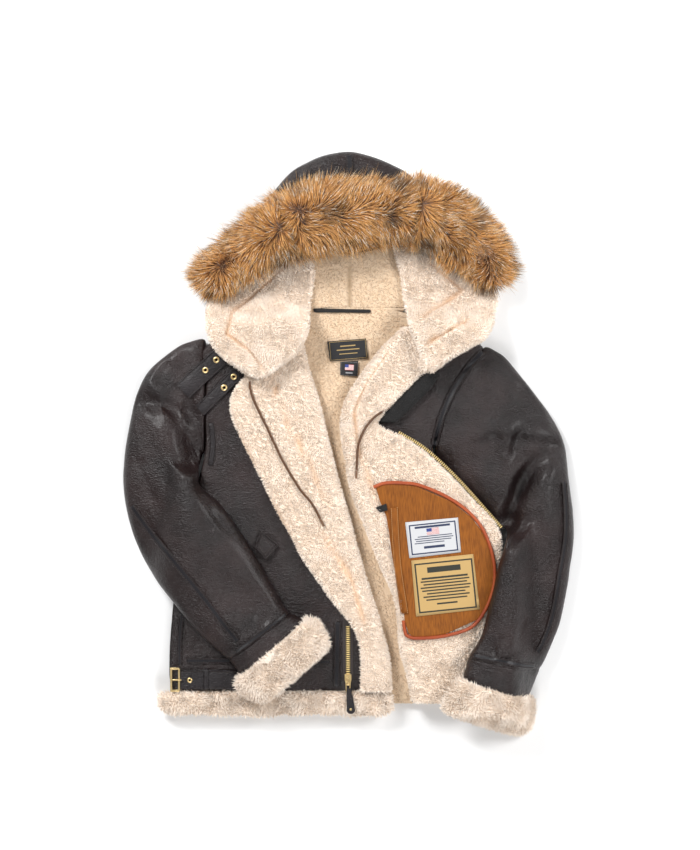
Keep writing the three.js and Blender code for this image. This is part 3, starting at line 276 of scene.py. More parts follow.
@dataclass(frozen=True)
class Hide:
    """Waxed sheepskin: dark and glossy, with a fine grain and soft broken wrinkles."""

    name: str
    deep: Colour
    worn: Colour
    roughness: float = 0.32
    grain: float = 0.62
    wrinkles: float = 0.55

    def material(self) -> bpy.types.Material:
        """Builds the finish."""
        g = Graph(self.name)
        place = g.place()
        cloud = g.noise(place, 16, 4)
        pebble = g.cells(g.bent(place, 300, 0.0016), 560)
        fleck = g.noise(g.stretched(place, (0.55, 1.3, 1)), 330, 5)
        veins = g.cells(g.bent(place, 45, 0.03), 62, "DISTANCE_TO_EDGE")
        soft = g.noise(g.stretched(place, (1, 0.6, 1)), 45, 3)
        normal = g.bump(soft, 0.006, self.wrinkles * 0.9)
        normal = g.bump((veins * 4).clamp(), 0.0007, self.wrinkles * 0.35, normal)
        normal = g.bump(pebble * 0.7 + fleck * 2.6, 0.0012, self.grain, normal)
        return g.surface(
            Base_Color=g.blend((cloud * 2.6 - 0.9).clamp(), self.deep, self.worn),
            Roughness=(self.roughness - 0.12 + cloud * 0.14 + fleck * 0.16).clamp(),
            Normal=normal,
            Specular_IOR_Level=0.36,
            Coat_Weight=0.08,
            Coat_Roughness=0.2,
        )


@dataclass(frozen=True)
class Pile:
    """Sheepskin wool: pale, soft and clumped, lighter at the tips of the tufts."""

    name: str
    root: Colour
    tip: Colour
    # seam is painted shade for the seam grooves
    seam: Colour
    sheen: float = 0.3
    rough: float = 0.92
    curl: float = 0.5

    def material(self) -> bpy.types.Material:
        """Builds the finish.

        Tufts carry along, from root to tip, and tint, one number each. Seams are where groove is high, and
        there the seam colour is painted shade in the seam grooves.
        """
        g = Graph(self.name)
        place = g.place()
        clump = g.noise(place, 60, 3)
        share = g.attribute("along") * 0.45 + g.attribute("tint") * 0.25 + clump * 0.7 - 0.1
        wool = g.blend(share.clamp(), self.root, self.tip)
        normal = g.bump(g.noise(place, 420, 3), 0.003, self.curl)
        return g.surface(
            # Painted shade: the seam colour darkens the wool where groove is high, along the seam grooves
            Base_Color=g.blend((g.attribute("groove") * 0.9).clamp(), wool, self.seam),
            Roughness=self.rough,
            Normal=normal,
            Sheen_Weight=self.sheen,
            Sheen_Roughness=0.6,
        )


@dataclass(frozen=True)
class LongFur:
    """Long guard hair in bands, over dark underfur, in lighter and darker patches."""

    name: str
    bands: tuple[tuple[float, Colour], ...]
    dark: Colour
    pale: Colour

    def material(self) -> bpy.types.Material:
        """Builds the finish."""
        g = Graph(self.name)
        place = g.place()
        along = g.attribute("along")
        tint = g.attribute("tint")
        patch = g.noise(place, 17, 3)
        base = g.ramp((along * 0.9 + tint * 0.16).clamp(), self.bands)
        shade = ((patch - 0.52) * 7).clamp() * 0.72
        shaded = g.blend(shade, base, self.dark)
        tipped = g.blend(along.above(0.62) * tint.above(0.8), shaded, self.dark)
        light = g.blend(along.above(0.55) * tint.below(0.16) * 0.8, tipped, self.pale)
        normal = g.bump(g.noise(place, 500), 0.003, 0.5)
        return g.surface(Base_Color=light, Roughness=0.5, Sheen_Weight=0.2, Normal=normal)


@dataclass(frozen=True)
class RibbedHide:
    """Matt russet hide with a fine vertical rib and darker rubbing."""

    name: str
    deep: Colour
    worn: Colour

    def material(self) -> bpy.types.Material:
        """Builds the finish."""
        g = Graph(self.name)
        place = g.place()
        rib = g.noise(g.stretched(place, (1, 0.09, 1)), 720, 1)
        cloud = g.noise(place, 30, 4)
        grain = g.cells(place, 700)
        share = (rib * 1.2 + cloud * 0.7 - 0.5).clamp()
        normal = g.bump(grain, 0.0003, 0.3, g.bump(rib, 0.0008, 0.6))
        return g.surface(
            Base_Color=g.blend(share, self.deep, self.worn),
            Roughness=(0.6 + cloud * 0.2).clamp(),
            Normal=normal,
            Specular_IOR_Level=0.25,
        )


@dataclass(frozen=True)
class Metal:
    """Satin brass, a little duller where the noise is high."""

    name: str
    bright: Colour
    dull: Colour
    roughness: float = 0.26
    metallic: float = 0.85

    def material(self) -> bpy.types.Material:
        """Builds the finish."""
        g = Graph(self.name)
        place = g.place()
        cloud = g.noise(place, 180, 4)
        return g.surface(
            Base_Color=g.blend(cloud, self.bright, self.dull),
            Metallic=self.metallic,
            Roughness=(self.roughness + cloud * 0.14).clamp(),
            Normal=g.bump(g.noise(place, 1500), 0.0002, 0.2),
        )


@dataclass(frozen=True)
class Thread:
    """Sewing thread, lace or tape: a plain colour with a fine twist."""

    name: str
    dark: Colour
    light: Colour
    roughness: float = 0.6
    twist: float = 900

    def material(self) -> bpy.types.Material:
        """Builds the finish."""
        g = Graph(self.name)
        place = g.place()
        weave = g.cells(place, self.twist)
        return g.surface(
            Base_Color=g.blend((weave * 1.4).clamp(), self.dark, self.light),
            Roughness=self.roughness,
            Normal=g.bump(weave, 0.0005, 0.6),
        )


@dataclass(frozen=True)
class WovenLabel:
    """A woven label with a plain border, rules in place of words, and where it has one a small flag.

    corner, turn, width and height place the label's own 0 to 1 square on the coat, in millimetres.
    """

    name: str
    ground: Colour
    ink: Colour
    corner: Point
    turn: float
    width: float
    height: float
    border: float = 0.04
    rules: tuple[tuple[float, float, float, float], ...] = ()
    flag: tuple[float, float, float, float] | None = None

    def material(self) -> bpy.types.Material:
        """Builds the finish."""
        g = Graph(self.name)
        place = g.place()
        square = g.node("ShaderNodeMapping", {"vector_type": "TEXTURE"}, {
            "Vector": place,
            "Location": (self.corner[0] * MM, self.corner[1] * MM, 0),
            "Rotation": (0, 0, math.radians(self.turn)),
            "Scale": (self.width * MM, self.height * MM, 1),
        })
        across = g.node("ShaderNodeSeparateXYZ", {}, {0: square}, 0)
        up = g.node("ShaderNodeSeparateXYZ", {}, {0: square}, 1)
        wide = self.border * self.height / self.width
        marks = across.within(wide, 1 - wide) * up.within(self.border, 1 - self.border)
        far, tall = 1.5 * wide, 1.5 * self.border
        marks = marks - across.within(far, 1 - far) * up.within(tall, 1 - tall)
        for low, high, left, right in self.rules:
            marks = marks + up.within(low, high) * across.within(left, right)
        colour = g.blend(marks.clamp(), self.ground, self.ink)
        if self.flag:
            colour = self._flagged(g, colour, across, up)
        normal = g.bump(g.noise(place, 1400, 1), 0.0003, 0.6)
        return g.surface(Base_Color=colour, Roughness=0.75, Normal=normal, Sheen_Weight=0.2)

    def _flagged(self, g: Graph, colour: Value, across: Value, up: Value) -> Value:
        """Adds a small striped flag with a blue corner."""
        left, right, low, high = self.flag
        stripes = ((up - low) * (13 * math.pi / (high - low))).wave().above(0)
        red = rgb(0.42, 0.03, 0.04)
        white = rgb(0.8, 0.78, 0.76)
        blue = rgb(0.03, 0.05, 0.22)
        cloth = g.blend(stripes, white, red)
        corner = across.below(left + 0.42 * (right - left)) * up.above(high - 0.54 * (high - low))
        cloth = g.blend(corner, cloth, blue)
        return g.blend(across.within(left, right) * up.within(low, high), colour, cloth)


class Finish(Enum):
    """The coat's finishes."""

    HIDE = Hide("waxed_hide", rgb(0.0075, 0.0040, 0.0040), rgb(0.024, 0.0130, 0.0125))
    STRAP = Hide("strap_hide", rgb(0.0065, 0.0045, 0.0055), rgb(0.015, 0.0105, 0.012), 0.4, 0.45, 0.25)
    TAPE = Hide("seam_tape", rgb(0.0045, 0.004, 0.006), rgb(0.0095, 0.008, 0.011), 0.46, 0.25, 0.1)
    # The third colour of PILE and LINING is painted shade for their seam grooves
    PILE = Pile("cream_pile", rgb(0.925, 0.79, 0.66), rgb(0.965, 0.87, 0.775), rgb(0.74, 0.50, 0.31))
    LINING = Pile(
        "tan_lining_pile", rgb(0.65, 0.48, 0.315), rgb(0.76, 0.62, 0.475), rgb(0.30, 0.19, 0.10), curl=0.3,
    )
    WOOL = Pile(
        "black_wool", rgb(0.006, 0.006, 0.006), rgb(0.022, 0.02, 0.02), rgb(0.006, 0.006, 0.006), 0.05,
    )
    RUFF = LongFur(
        "ruff_fur",
        (
            (0.0, rgb(0.085, 0.036, 0.014)), (0.24, rgb(0.34, 0.14, 0.034)), (0.52, rgb(0.62, 0.285, 0.07)),
            (0.8, rgb(0.72, 0.40, 0.13)), (1.0, rgb(0.80, 0.57, 0.30)),
        ),
        rgb(0.045, 0.021, 0.011),
        rgb(0.88, 0.80, 0.66),
    )
    POCKET = RibbedHide("pocket_hide", rgb(0.13, 0.036, 0.004), rgb(0.36, 0.118, 0.014))
    BINDING = Hide("red_binding", rgb(0.30, 0.05, 0.014), rgb(0.46, 0.10, 0.028), 0.5, 0.25, 0.2)
    BRASS = Metal("satin_brass", rgb(0.96, 0.76, 0.40), rgb(0.78, 0.55, 0.25))
    TEETH = Metal("zip_teeth_brass", rgb(1.0, 0.80, 0.38), rgb(0.90, 0.66, 0.27), 0.4, 0.4)
    SEWING = Thread("sewing_thread", rgb(0.012, 0.009, 0.009), rgb(0.05, 0.034, 0.03))
    TAN_SEWING = Thread("tan_sewing_thread", rgb(0.36, 0.17, 0.06), rgb(0.6, 0.33, 0.13))
    ZIP_TAPE = Thread("zip_tape", rgb(0.012, 0.009, 0.009), rgb(0.035, 0.026, 0.024), 0.75)
    LACE = Thread("waxed_lace", rgb(0.035, 0.013, 0.005), rgb(0.12, 0.05, 0.018), 0.5, 650)
    TIP = Thread("lace_tip", rgb(0.06, 0.028, 0.014), rgb(0.2, 0.1, 0.05), 0.4, 1100)
    WHITE_LABEL = WovenLabel(
        "white_label", rgb(0.56, 0.565, 0.58), rgb(0.02, 0.03, 0.075), (106, -145), 6, 86, 58.5, 0.075,
        ((0.55, 0.575, 0.2, 0.86), (0.49, 0.515, 0.14, 0.88), (0.43, 0.455, 0.16, 0.84),
         (0.37, 0.395, 0.13, 0.7), (0.22, 0.29, 0.3, 0.7), (0.8, 0.86, 0.16, 0.84)),
        (0.38, 0.62, 0.6, 0.78),
    )
    OCHRE_LABEL = WovenLabel(
        "ochre_label", rgb(0.50, 0.325, 0.12), rgb(0.022, 0.022, 0.014), (117.5, -241.5), 5.8, 106, 92,
        0.055,
        ((0.76, 0.86, 0.24, 0.76), (0.645, 0.68, 0.14, 0.86), (0.595, 0.62, 0.12, 0.88),
         (0.54, 0.565, 0.16, 0.84), (0.485, 0.51, 0.11, 0.89), (0.43, 0.455, 0.13, 0.87),
         (0.375, 0.4, 0.2, 0.8), (0.32, 0.345, 0.14, 0.86), (0.265, 0.29, 0.18, 0.82),
         (0.18, 0.21, 0.34, 0.66)),
    )
    NECK_LABEL = WovenLabel(
        "neck_label", rgb(0.008, 0.008, 0.010), rgb(0.36, 0.25, 0.1), (-25, 180), 4.6, 63, 33, 0.04,
        ((0.68, 0.74, 0.3, 0.7), (0.5, 0.55, 0.2, 0.8), (0.3, 0.34, 0.26, 0.74)),
    )
    SIZE_LABEL = WovenLabel(
        "size_label", rgb(0.008, 0.008, 0.010), rgb(0.3, 0.3, 0.32), (-8, 157), -3, 29, 23, 0.02,
        ((0.16, 0.24, 0.3, 0.7),), (0.25, 0.75, 0.4, 0.8),
    )


def smooth(low: float, high: float, value: np.ndarray) -> np.ndarray:
    """0 below low, 1 above high, and an even slope between."""
    share = np.clip((value - low) / (high - low), 0, 1)
    return share * share * (3 - 2 * share)


def points_of(mesh: bpy.types.Mesh) -> np.ndarray:
    """A mesh's points, in metres."""
    flat = np.empty(len(mesh.vertices) * 3, np.float32)
    mesh.vertices.foreach_get("co", flat)
    return flat.reshape(-1, 3).astype(float)


def set_points(mesh: bpy.types.Mesh, points: np.ndarray) -> None:
    """Moves a mesh's points."""
    mesh.vertices.foreach_set("co", points.astype(np.float32).ravel())
    mesh.update()


def normals_of(mesh: bpy.types.Mesh) -> np.ndarray:
    """A mesh's normals at its points."""
    flat = np.empty(len(mesh.vertices) * 3, np.float32)
    mesh.vertex_normals.foreach_get("vector", flat)
    return flat.reshape(-1, 3).astype(float)


def noise_at(points: np.ndarray, size: float, shift: float = 0.0) -> np.ndarray:
    """Smooth noise from -1 to 1 whose bumps are about size millimetres across."""
    scale = 1 / (size * MM)
    return np.array([noise.noise(Vector(p) * scale + Vector((shift, shift, 0))) for p in points])


@dataclass(frozen=True)
class Crease:
    """A soft trough along a line of places, or with a negative depth a ridge, in millimetres."""

    line: tuple[Point, ...]
    width: float
    depth: float
    low: float = -1.0
    high: float = 200.0

    @property
    def is_seam(self) -> bool:
        """Whether it is as narrow as a seam."""
        return 0 < self.width <= 5 and self.depth > 0

    def sink(self, points: np.ndarray) -> np.ndarray:
        """How far the crease sinks the cloth at each point, in millimetres.

        Args:
            points: Places in millimetres.

        Returns:
            One depth a point. It fades at both ends and wanders a little in width and depth.
        """
        spots = np.array(self.line, float)
        steps = np.linalg.norm(np.diff(spots, axis=0), axis=1)
        before = np.concatenate([[0], np.cumsum(steps)])
        nearest = np.full(len(points), 1e9)
        share = np.zeros(len(points))
        for start, end, step, done in zip(spots[:-1], spots[1:], steps, before):
            t = np.clip(((points[:, :2] - start) @ (end - start)) / step**2, 0, 1)
            gap = np.linalg.norm(points[:, :2] - start - t[:, None] * (end - start), axis=1)
            closer = gap < nearest
            nearest = np.where(closer, gap, nearest)
            share = np.where(closer, (done + t * step) / before[-1], share)
        ends = np.clip(np.minimum(share, 1 - share) * 6 + 0.25, 0, 1)
        wander = 1 + 0.22 * np.sin(share * 11 + spots[0, 0])
        depth = self.depth * ends * (0.85 + 0.15 * np.sin(share * 17 + spots[0, 1]))
        inside = (points[:, 2] > self.low) & (points[:, 2] < self.high)
        return depth * np.exp(-((nearest / (self.width * wander)) ** 2)) * inside


@dataclass(frozen=True)
class Cut:
    """A piece of cloth as it was cut, in metres, and how it lies."""

    flat: tuple[float, float]
    held: str
    rests_on: tuple[str, ...]
    area: float | None = None


@dataclass(frozen=True)
class Strand:
    """A tuft or guard hair: rings of three points, bending towards +X, and a tip. Sizes in millimetres.

    taper is the share of its radius that a strand loses on the way up, and droop is how much further than
    its last ring the tip reaches.
    """

    name: str
    radius: float
    length: float
    bends: tuple[float, ...] = ()
    taper: float = 0.55
    droop: float = 1.9

    def build(self) -> bpy.types.Object:
        """Makes the strand that is repeated, with its place from root to tip as a number on each point."""
        rings = len(self.bends) + 1
        bm = bmesh.new()
        along = bm.verts.layers.float.new("along")
        rows = []
        for ring in range(rings):
            share = ring / rings
            lean = self.bends[ring - 1] if ring else 0.0
            row = []
            for corner in range(3):
                angle = 2 * math.pi * corner / 3
                radius = self.radius * (1 - self.taper * share)
                spot = (radius * math.cos(angle) + lean, radius * math.sin(angle), self.length * share)
                vert = bm.verts.new(Vector(spot) * MM)
                vert[along] = share
                row.append(vert)
            rows.append(row)
        reach = self.bends[-1] * self.droop if self.bends else 0.0
        tip = bm.verts.new(Vector((reach, 0, self.length)) * MM)
        tip[along] = 1.0
        bm.faces.new(reversed(rows[0]))
        for lower, upper in zip(rows, rows[1:]):
            for k in range(3):
                bm.faces.new((lower[k], lower[(k + 1) % 3], upper[(k + 1) % 3], upper[k]))
        for k in range(3):
            bm.faces.new((rows[-1][k], rows[-1][(k + 1) % 3], tip))
        return bpy.data.objects.new(self.name, mesh_of(bm, self.name))


class NodeTree:
    """A geometry tree under construction: named inputs, nodes and links."""

    def __init__(self, name: str, inputs: Sequence[tuple[str, str]]) -> None:
        """Makes the tree with a geometry input, the named inputs and a geometry output."""
        self.tree = bpy.data.node_groups.new(name, "GeometryNodeTree")
        face = self.tree.interface
        face.new_socket("Geometry", in_out="INPUT", socket_type="NodeSocketGeometry")
        self.identifiers = {
            label: face.new_socket(label, in_out="INPUT", socket_type=kind).identifier
            for label, kind in inputs
        }
        face.new_socket("Geometry", in_out="OUTPUT", socket_type="NodeSocketGeometry")
        self.given = self.tree.nodes.new("NodeGroupInput").outputs
        self.result = self.tree.nodes.new("NodeGroupOutput").inputs[0]

    def node(
        self, kind: str, settings: Mapping, sockets: Mapping, out: int | str = 0,
    ) -> bpy.types.NodeSocket:
        """Adds a node with its settings and inputs, and returns one of its outputs."""
        made = self.tree.nodes.new(kind)
        for key, value in settings.items():
            setattr(made, key, value)
        for key, value in sockets.items():
            if isinstance(value, bpy.types.NodeSocket):
                self.tree.links.new(value, made.inputs[key])
            else:
                made.inputs[key].default_value = value
        return made.outputs[out]

    def finish(self, geometry: bpy.types.NodeSocket) -> None:
        """Realizes the instances, gives them their material and ends the tree."""
        real = self.node("GeometryNodeRealizeInstances", {}, {"Geometry": geometry})
        finish = self.given["Finish"]
        dressed = self.node("GeometryNodeSetMaterial", {}, {"Geometry": real, "Material": finish})
        self.tree.links.new(dressed, self.result)

    def run(self, host: bpy.types.Object, name: str, values: Mapping) -> bpy.types.Object:
        """Runs the tree on an object.

        Args:
            host: The mesh that the tree reads. It is removed afterwards.
            name: The new piece's name.
            values: The tree's inputs by label.

        Returns:
            The result as a plain mesh object.
        """
        modifier = host.modifiers.new(self.tree.name, "NODES")
        modifier.node_group = self.tree
        for label, value in values.items():
            modifier[self.identifiers[label]] = value
        mesh = baked(host)
        mesh.name = name
        piece = linked(name, mesh)
        bpy.data.objects.remove(host)
        return piece


def linked(name: str, mesh: bpy.types.Mesh) -> bpy.types.Object:
    """A new object in the scene."""
    piece = bpy.data.objects.new(name, mesh)
    bpy.context.scene.collection.objects.link(piece)
    return piece


def mesh_of(bm: bmesh.types.BMesh, name: str) -> bpy.types.Mesh:
    """Writes a finished bmesh to a new mesh and frees it."""
    mesh = bpy.data.meshes.new(name)
    bm.to_mesh(mesh)
    bm.free()
    return mesh


def opened(mesh: bpy.types.Mesh, weld: bool = False) -> bmesh.types.BMesh:
    """A mesh as a bmesh, with its shared points merged if asked."""
    bm = bmesh.new()
    bm.from_mesh(mesh)
    if weld:
        bmesh.ops.remove_doubles(bm, verts=bm.verts, dist=WELD)
    return bm


def tree_of(mesh: bpy.types.Mesh) -> BVHTree:
    """A mesh's surface, for finding heights."""
    bm = opened(mesh)
    tree = BVHTree.FromBMesh(bm)
    bm.free()
    return tree


def rod(name: str, runs: Sequence[Sequence[Place]], radius: float, rings: int) -> bpy.types.Object:
    """A round rod in one or more runs.

    Args:
        name: The curve's name.
        runs: Lines of places in metres.
        radius: Its radius in millimetres.
        rings: How finely it is rounded.

    Returns:
        The rod as a curve in the scene.
    """
    curve = bpy.data.curves.new(name, "CURVE")
    curve.dimensions = "3D"
    curve.bevel_depth = radius * MM
    curve.bevel_resolution = rings
    curve.use_fill_caps = True
    for run in runs:
        spline = curve.splines.new("POLY")
        spline.points.add(len(run) - 1)
        for point, place in zip(spline.points, run):
            point.co = (*place, 1)
    host = bpy.data.objects.new(name, curve)
    bpy.context.scene.collection.objects.link(host)
    return host


def baked(host: bpy.types.Object) -> bpy.types.Mesh:
    """An object's mesh with its modifiers applied, as a new mesh."""
    graph = bpy.context.evaluated_depsgraph_get()
    return bpy.data.meshes.new_from_object(
        host.evaluated_get(graph), preserve_all_data_layers=True, depsgraph=graph,
    )


def applied(host: bpy.types.Object) -> None:
    """Replaces an object's mesh by what its modifiers make of it."""
    mesh = baked(host)
    host.modifiers.clear()
    host.data = mesh


def divided(piece: bpy.types.Object, level: int, kind: str = "CATMULL_CLARK") -> None:
    """Divides a piece's faces so often, rounded or flat."""
    divide = piece.modifiers.new("Rounding", "SUBSURF")
    divide.subdivision_type = kind
    divide.levels = divide.render_levels = level
    applied(piece)


def bristle_tree() -> NodeTree:
    """Scatters strands over a mesh, standing on it, combed by its comb attribute and straying a little."""
    t = NodeTree("bristles", (
        ("Strand", "NodeSocketObject"), ("Strands per square metre", "NodeSocketFloat"),
        ("Shortest", "NodeSocketFloat"), ("Longest", "NodeSocketFloat"), ("Comb", "NodeSocketFloat"),
        ("Stray", "NodeSocketFloat"), ("Seed", "NodeSocketInt"), ("Finish", "NodeSocketMaterial"),
    ))
    given = t.given
    scatter = t.tree.nodes.new("GeometryNodeDistributePointsOnFaces")
    t.tree.links.new(given["Geometry"], scatter.inputs["Mesh"])
    t.tree.links.new(given["Strands per square metre"], scatter.inputs["Density"])
    t.tree.links.new(given["Seed"], scatter.inputs["Seed"])
    comb = t.node("GeometryNodeInputNamedAttribute", {"data_type": "FLOAT_VECTOR"}, {"Name": "comb"})
    drag = t.node("ShaderNodeVectorMath", {"operation": "SCALE"}, {0: comb, "Scale": given["Comb"]})
    chance = t.node("FunctionNodeRandomValue", {"data_type": "FLOAT_VECTOR"}, {
        0: (-1, -1, -1), 1: (1, 1, 1), "Seed": given["Seed"],
    })
    stray = t.node("ShaderNodeVectorMath", {"operation": "SCALE"}, {0: chance, "Scale": given["Stray"]})
    stand = t.node("ShaderNodeVectorMath", {"operation": "ADD"}, {0: scatter.outputs["Normal"], 1: drag})
    stand = t.node("ShaderNodeVectorMath", {"operation": "ADD"}, {0: stand, 1: stray})
    turn = t.node("FunctionNodeAlignRotationToVector", {"axis": "Z"}, {"Vector": stand})
    turn = t.node("FunctionNodeAlignRotationToVector", {"axis": "X", "pivot_axis": "Z"}, {
        "Rotation": turn, "Vector": comb,
    })
    size = t.node("FunctionNodeRandomValue", {"data_type": "FLOAT"}, {
        2: given["Shortest"], 3: given["Longest"], "Seed": given["Seed"],
    }, 1)
    groove = t.node("GeometryNodeInputNamedAttribute", {"data_type": "FLOAT"}, {"Name": "groove"})
    kept = t.node("ShaderNodeMath", {"operation": "MULTIPLY_ADD"}, {0: groove, 1: -0.7, 2: 1.0})
    placed = t.node("GeometryNodeInstanceOnPoints", {}, {
        "Points": scatter.outputs["Points"],
        "Instance": t.node("GeometryNodeObjectInfo", {}, {"Object": given["Strand"]}, "Geometry"),
        "Rotation": turn,
        "Scale": t.node("ShaderNodeMath", {"operation": "MULTIPLY"}, {0: size, 1: kept}),
    })
    tint = t.node("FunctionNodeRandomValue", {"data_type": "FLOAT"}, {2: 0.0, 3: 1.0}, 1)
    stored = t.node("GeometryNodeStoreNamedAttribute", {"data_type": "FLOAT", "domain": "INSTANCE"}, {
        "Geometry": placed, "Name": "tint", "Value": tint,
    })
    t.finish(stored)
    return t


def row_tree() -> NodeTree:
    """Sets a small piece again and again along a line, such as a stitch or a tooth, turned to follow it."""
    t = NodeTree("rows", (
        ("Piece", "NodeSocketObject"), ("Spacing", "NodeSocketFloat"), ("Finish", "NodeSocketMaterial"),
    ))
    line = t.node("GeometryNodeMeshToCurve", {}, {"Mesh": t.given["Geometry"]})
    step = t.given["Spacing"]
    spaced = t.node("GeometryNodeResampleCurve", {"mode": "LENGTH"}, {"Curve": line, "Length": step})
    turn = t.node("FunctionNodeAlignRotationToVector", {"axis": "X"}, {
        "Vector": t.node("GeometryNodeInputTangent", {}, {}),
    })
    placed = t.node("GeometryNodeInstanceOnPoints", {}, {
        "Points": spaced,
        "Instance": t.node("GeometryNodeObjectInfo", {}, {"Object": t.given["Piece"]}, "Geometry"),
        "Rotation": turn,
    })
    t.finish(placed)
    return t


@dataclass(frozen=True)
class Fur:
    """Hair that grows on a piece: which strand, how many, how long and how it lies."""

    strand: Strand
    finish: Finish
    slot: str
    density: float
    shortest: float
    longest: float
    comb: float
    stray: float
    seed: int
    under: tuple[str, ...] = ()


PILE_TUFT = Strand("pile_tuft", 1.3, 4.8)
EDGE_TUFT = Strand("edge_tuft", 1.3, 8.5)
SHORT_TUFT = Strand("short_tuft", 1.05, 1.9)
GUARD_HAIR = Strand("guard_hair", 0.6, 24.0, (3.5,))
WISP = Strand("wisp", 0.34, 38.0, (4.5,))


class Workshop:
    """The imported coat, its finishes, and the ways in which its pieces are dressed."""

    def __init__(self, frame: dict) -> None:
        """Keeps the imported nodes, builds the materials and the trees."""
        self.nodes = frame["nodes"]
        self.materials = {finish: finish.value.material() for finish in Finish}
        self.bristles = bristle_tree()
        self.rows = row_tree()
        strands = (PILE_TUFT, EDGE_TUFT, SHORT_TUFT, GUARD_HAIR, WISP)
        self.strands = {strand: strand.build() for strand in strands}
        self.packed_trees: dict[str, BVHTree] = {}
        self.dressed_trees: dict[str, BVHTree] = {}

    def merged(self, node: str) -> bpy.types.Mesh:
        """A node's mesh with its shared points merged and its triangles paired into four-sided faces."""
        bm = opened(self.nodes[node].data, weld=True)
        bmesh.ops.join_triangles(
            bm, faces=bm.faces, angle_face_threshold=math.radians(60),
            angle_shape_threshold=math.radians(140),
        )
        mesh = mesh_of(bm, node)
        mesh.materials.clear()
        return mesh

    def packed_tree(self, node: str) -> BVHTree:
        """A node's packed surface, for finding heights."""
        if node not in self.packed_trees:
            self.packed_trees[node] = tree_of(self.nodes[node].data)
        return self.packed_trees[node]

    def finish(
        self, piece: bpy.types.Object, finish: Finish, sharp: float | None = None,
    ) -> bpy.types.Object:
        """Gives a piece one finish and smooth shading.

        Args:
            piece: The piece.
            finish: Its finish.
            sharp: Edges steeper than so many degrees stay sharp.

        Returns:
            The same piece.
        """
        piece.data.materials.clear()
        piece.data.materials.append(self.materials[finish])
        piece.data.shade_smooth()
        if sharp is not None:
            piece.data.set_sharp_from_angle(angle=math.radians(sharp))
        return piece

    def rounded(
        self, node: str, level: int, name: str, rounds: int = 4, share: float = 0.8,
    ) -> bpy.types.Object:
        """A smooth surface through a node's own points.

        Args:
            node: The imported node.
            level: How often its faces are divided.
            name: The new piece's name.
            rounds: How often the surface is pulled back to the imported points.
            share: What part of the way it is pulled each time.

        Returns:
            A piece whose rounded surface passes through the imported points.
        """
        mesh = self.merged(node)
        piece = linked(name, mesh)
        wanted = points_of(mesh)
        divide = piece.modifiers.new("Rounding", "SUBSURF")
        divide.levels = divide.render_levels = 1
        divide.use_limit_surface = True
        for _ in range(rounds):
            graph = bpy.context.evaluated_depsgraph_get()
            now = points_of(piece.evaluated_get(graph).data)[: len(wanted)]
            set_points(mesh, points_of(mesh) + share * (wanted - now))
        divide.levels = divide.render_levels = level
        applied(piece)
        return piece

    def edged(self, node: str, name: str, width: float, finish: Finish) -> bpy.types.Object:
        """A copy of a hard or flat node with its edges rounded off, so many millimetres wide."""
        bm = opened(self.nodes[node].data, weld=True)
        bmesh.ops.dissolve_limit(bm, angle_limit=math.radians(2), verts=bm.verts, edges=bm.edges)
        piece = linked(name, mesh_of(bm, name))
        bevel = piece.modifiers.new("Edges", "BEVEL")
        bevel.width = width * MM
        bevel.segments = 3
        bevel.limit_method = "ANGLE"
        bevel.angle_limit = math.radians(28)
        applied(piece)
        return self.finish(piece, finish, 40)

    def remember(self, node: str, piece: bpy.types.Object) -> None:
        """Keeps a dressed surface, for what lies on it."""
        self.dressed_trees[node] = tree_of(piece.data)

    def height(
        self, x: float, y: float, top: float, over: Sequence[str], dressed: bool = True,
    ) -> float | None:
        """The highest surface under a place.

        Args:
            x: Place across, in metres.
            y: Place along, in metres.
            top: Where to look down from, in metres.
            over: The nodes that may be under it.
            dressed: Whether the dressed surfaces are looked at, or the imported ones.

        Returns:
            Its height in metres, or None.
        """
        trees = [self.dressed_trees[node] if dressed else self.packed_tree(node) for node in over]
        found = [tree.ray_cast(Vector((x, y, top)), DOWN)[0] for tree in trees]
        heights = [hit.z for hit in found if hit is not None]
        return max(heights) if heights else None

    def hug(
        self, piece: bpy.types.Object, over: Sequence[str], thickness: float,
        lift: float = 0.3, cuts: int = 1, near: float = 1.2,
    ) -> None:
        """Lays a thin piece down on the dressed surfaces under it.

        Args:
            piece: The piece, as packed.
            over: The nodes that carry it.
            thickness: Its thickness in millimetres.
            lift: The gap under it in millimetres.
            cuts: How many points are added along each edge first.
            near: How far round each point the surface is looked at too, in millimetres.
        """
        bm = opened(piece.data)
        bmesh.ops.subdivide_edges(bm, edges=bm.edges, cuts=cuts, use_grid_fill=True)
        bm.to_mesh(piece.data)
        bm.free()
        points, normals = points_of(piece.data), normals_of(piece.data)
        shifts = [(0, 0), (near, 0), (-near, 0), (0, near), (0, -near)]
        for i, (x, y, z) in enumerate(points):
            top = z + DRESS_REACH * MM
            found = [self.height(x + a * MM, y + b * MM, top, over) for a, b in shifts]
            heights = [h for h in found if h is not None]
            if heights:
                points[i, 2] = max(heights) + (lift + (thickness if normals[i, 2] > 0 else 0)) * MM
        set_points(piece.data, points)

    def follow(self, piece: bpy.types.Object, over: Sequence[str], most: float = 6.0) -> None:
        """Moves each point of a piece as far as the surface under it moved when that was dressed.

        Args:
            piece: The piece, as packed.
            over: The nodes that carry it.
            most: A point that would move further, in millimetres, stays.
        """
        points = points_of(piece.data)
        for i, (x, y, z) in enumerate(points):
            was = self.height(x, y, z + 1 * MM, over, dressed=False)
            now = self.height(x, y, z + DRESS_REACH * MM, over)
            if was is not None and now is not None and abs(now - was) < most * MM:
                points[i, 2] += now - was
        set_points(piece.data, points)

    def keep(
        self, piece: bpy.types.Object, slot: str, *nodes: str, body: str = COAT, cut: Cut | None = None,
        goes_with: Sequence[bpy.types.Object] = (),
    ) -> bpy.types.Object:
        """Sets a finished piece on its body, hides the nodes that it replaces and logs its face count."""
        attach(piece, body)
        if nodes:
            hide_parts(*nodes)
        LOG.info("%s: %d faces", piece.name, len(piece.data.polygons))
        return piece

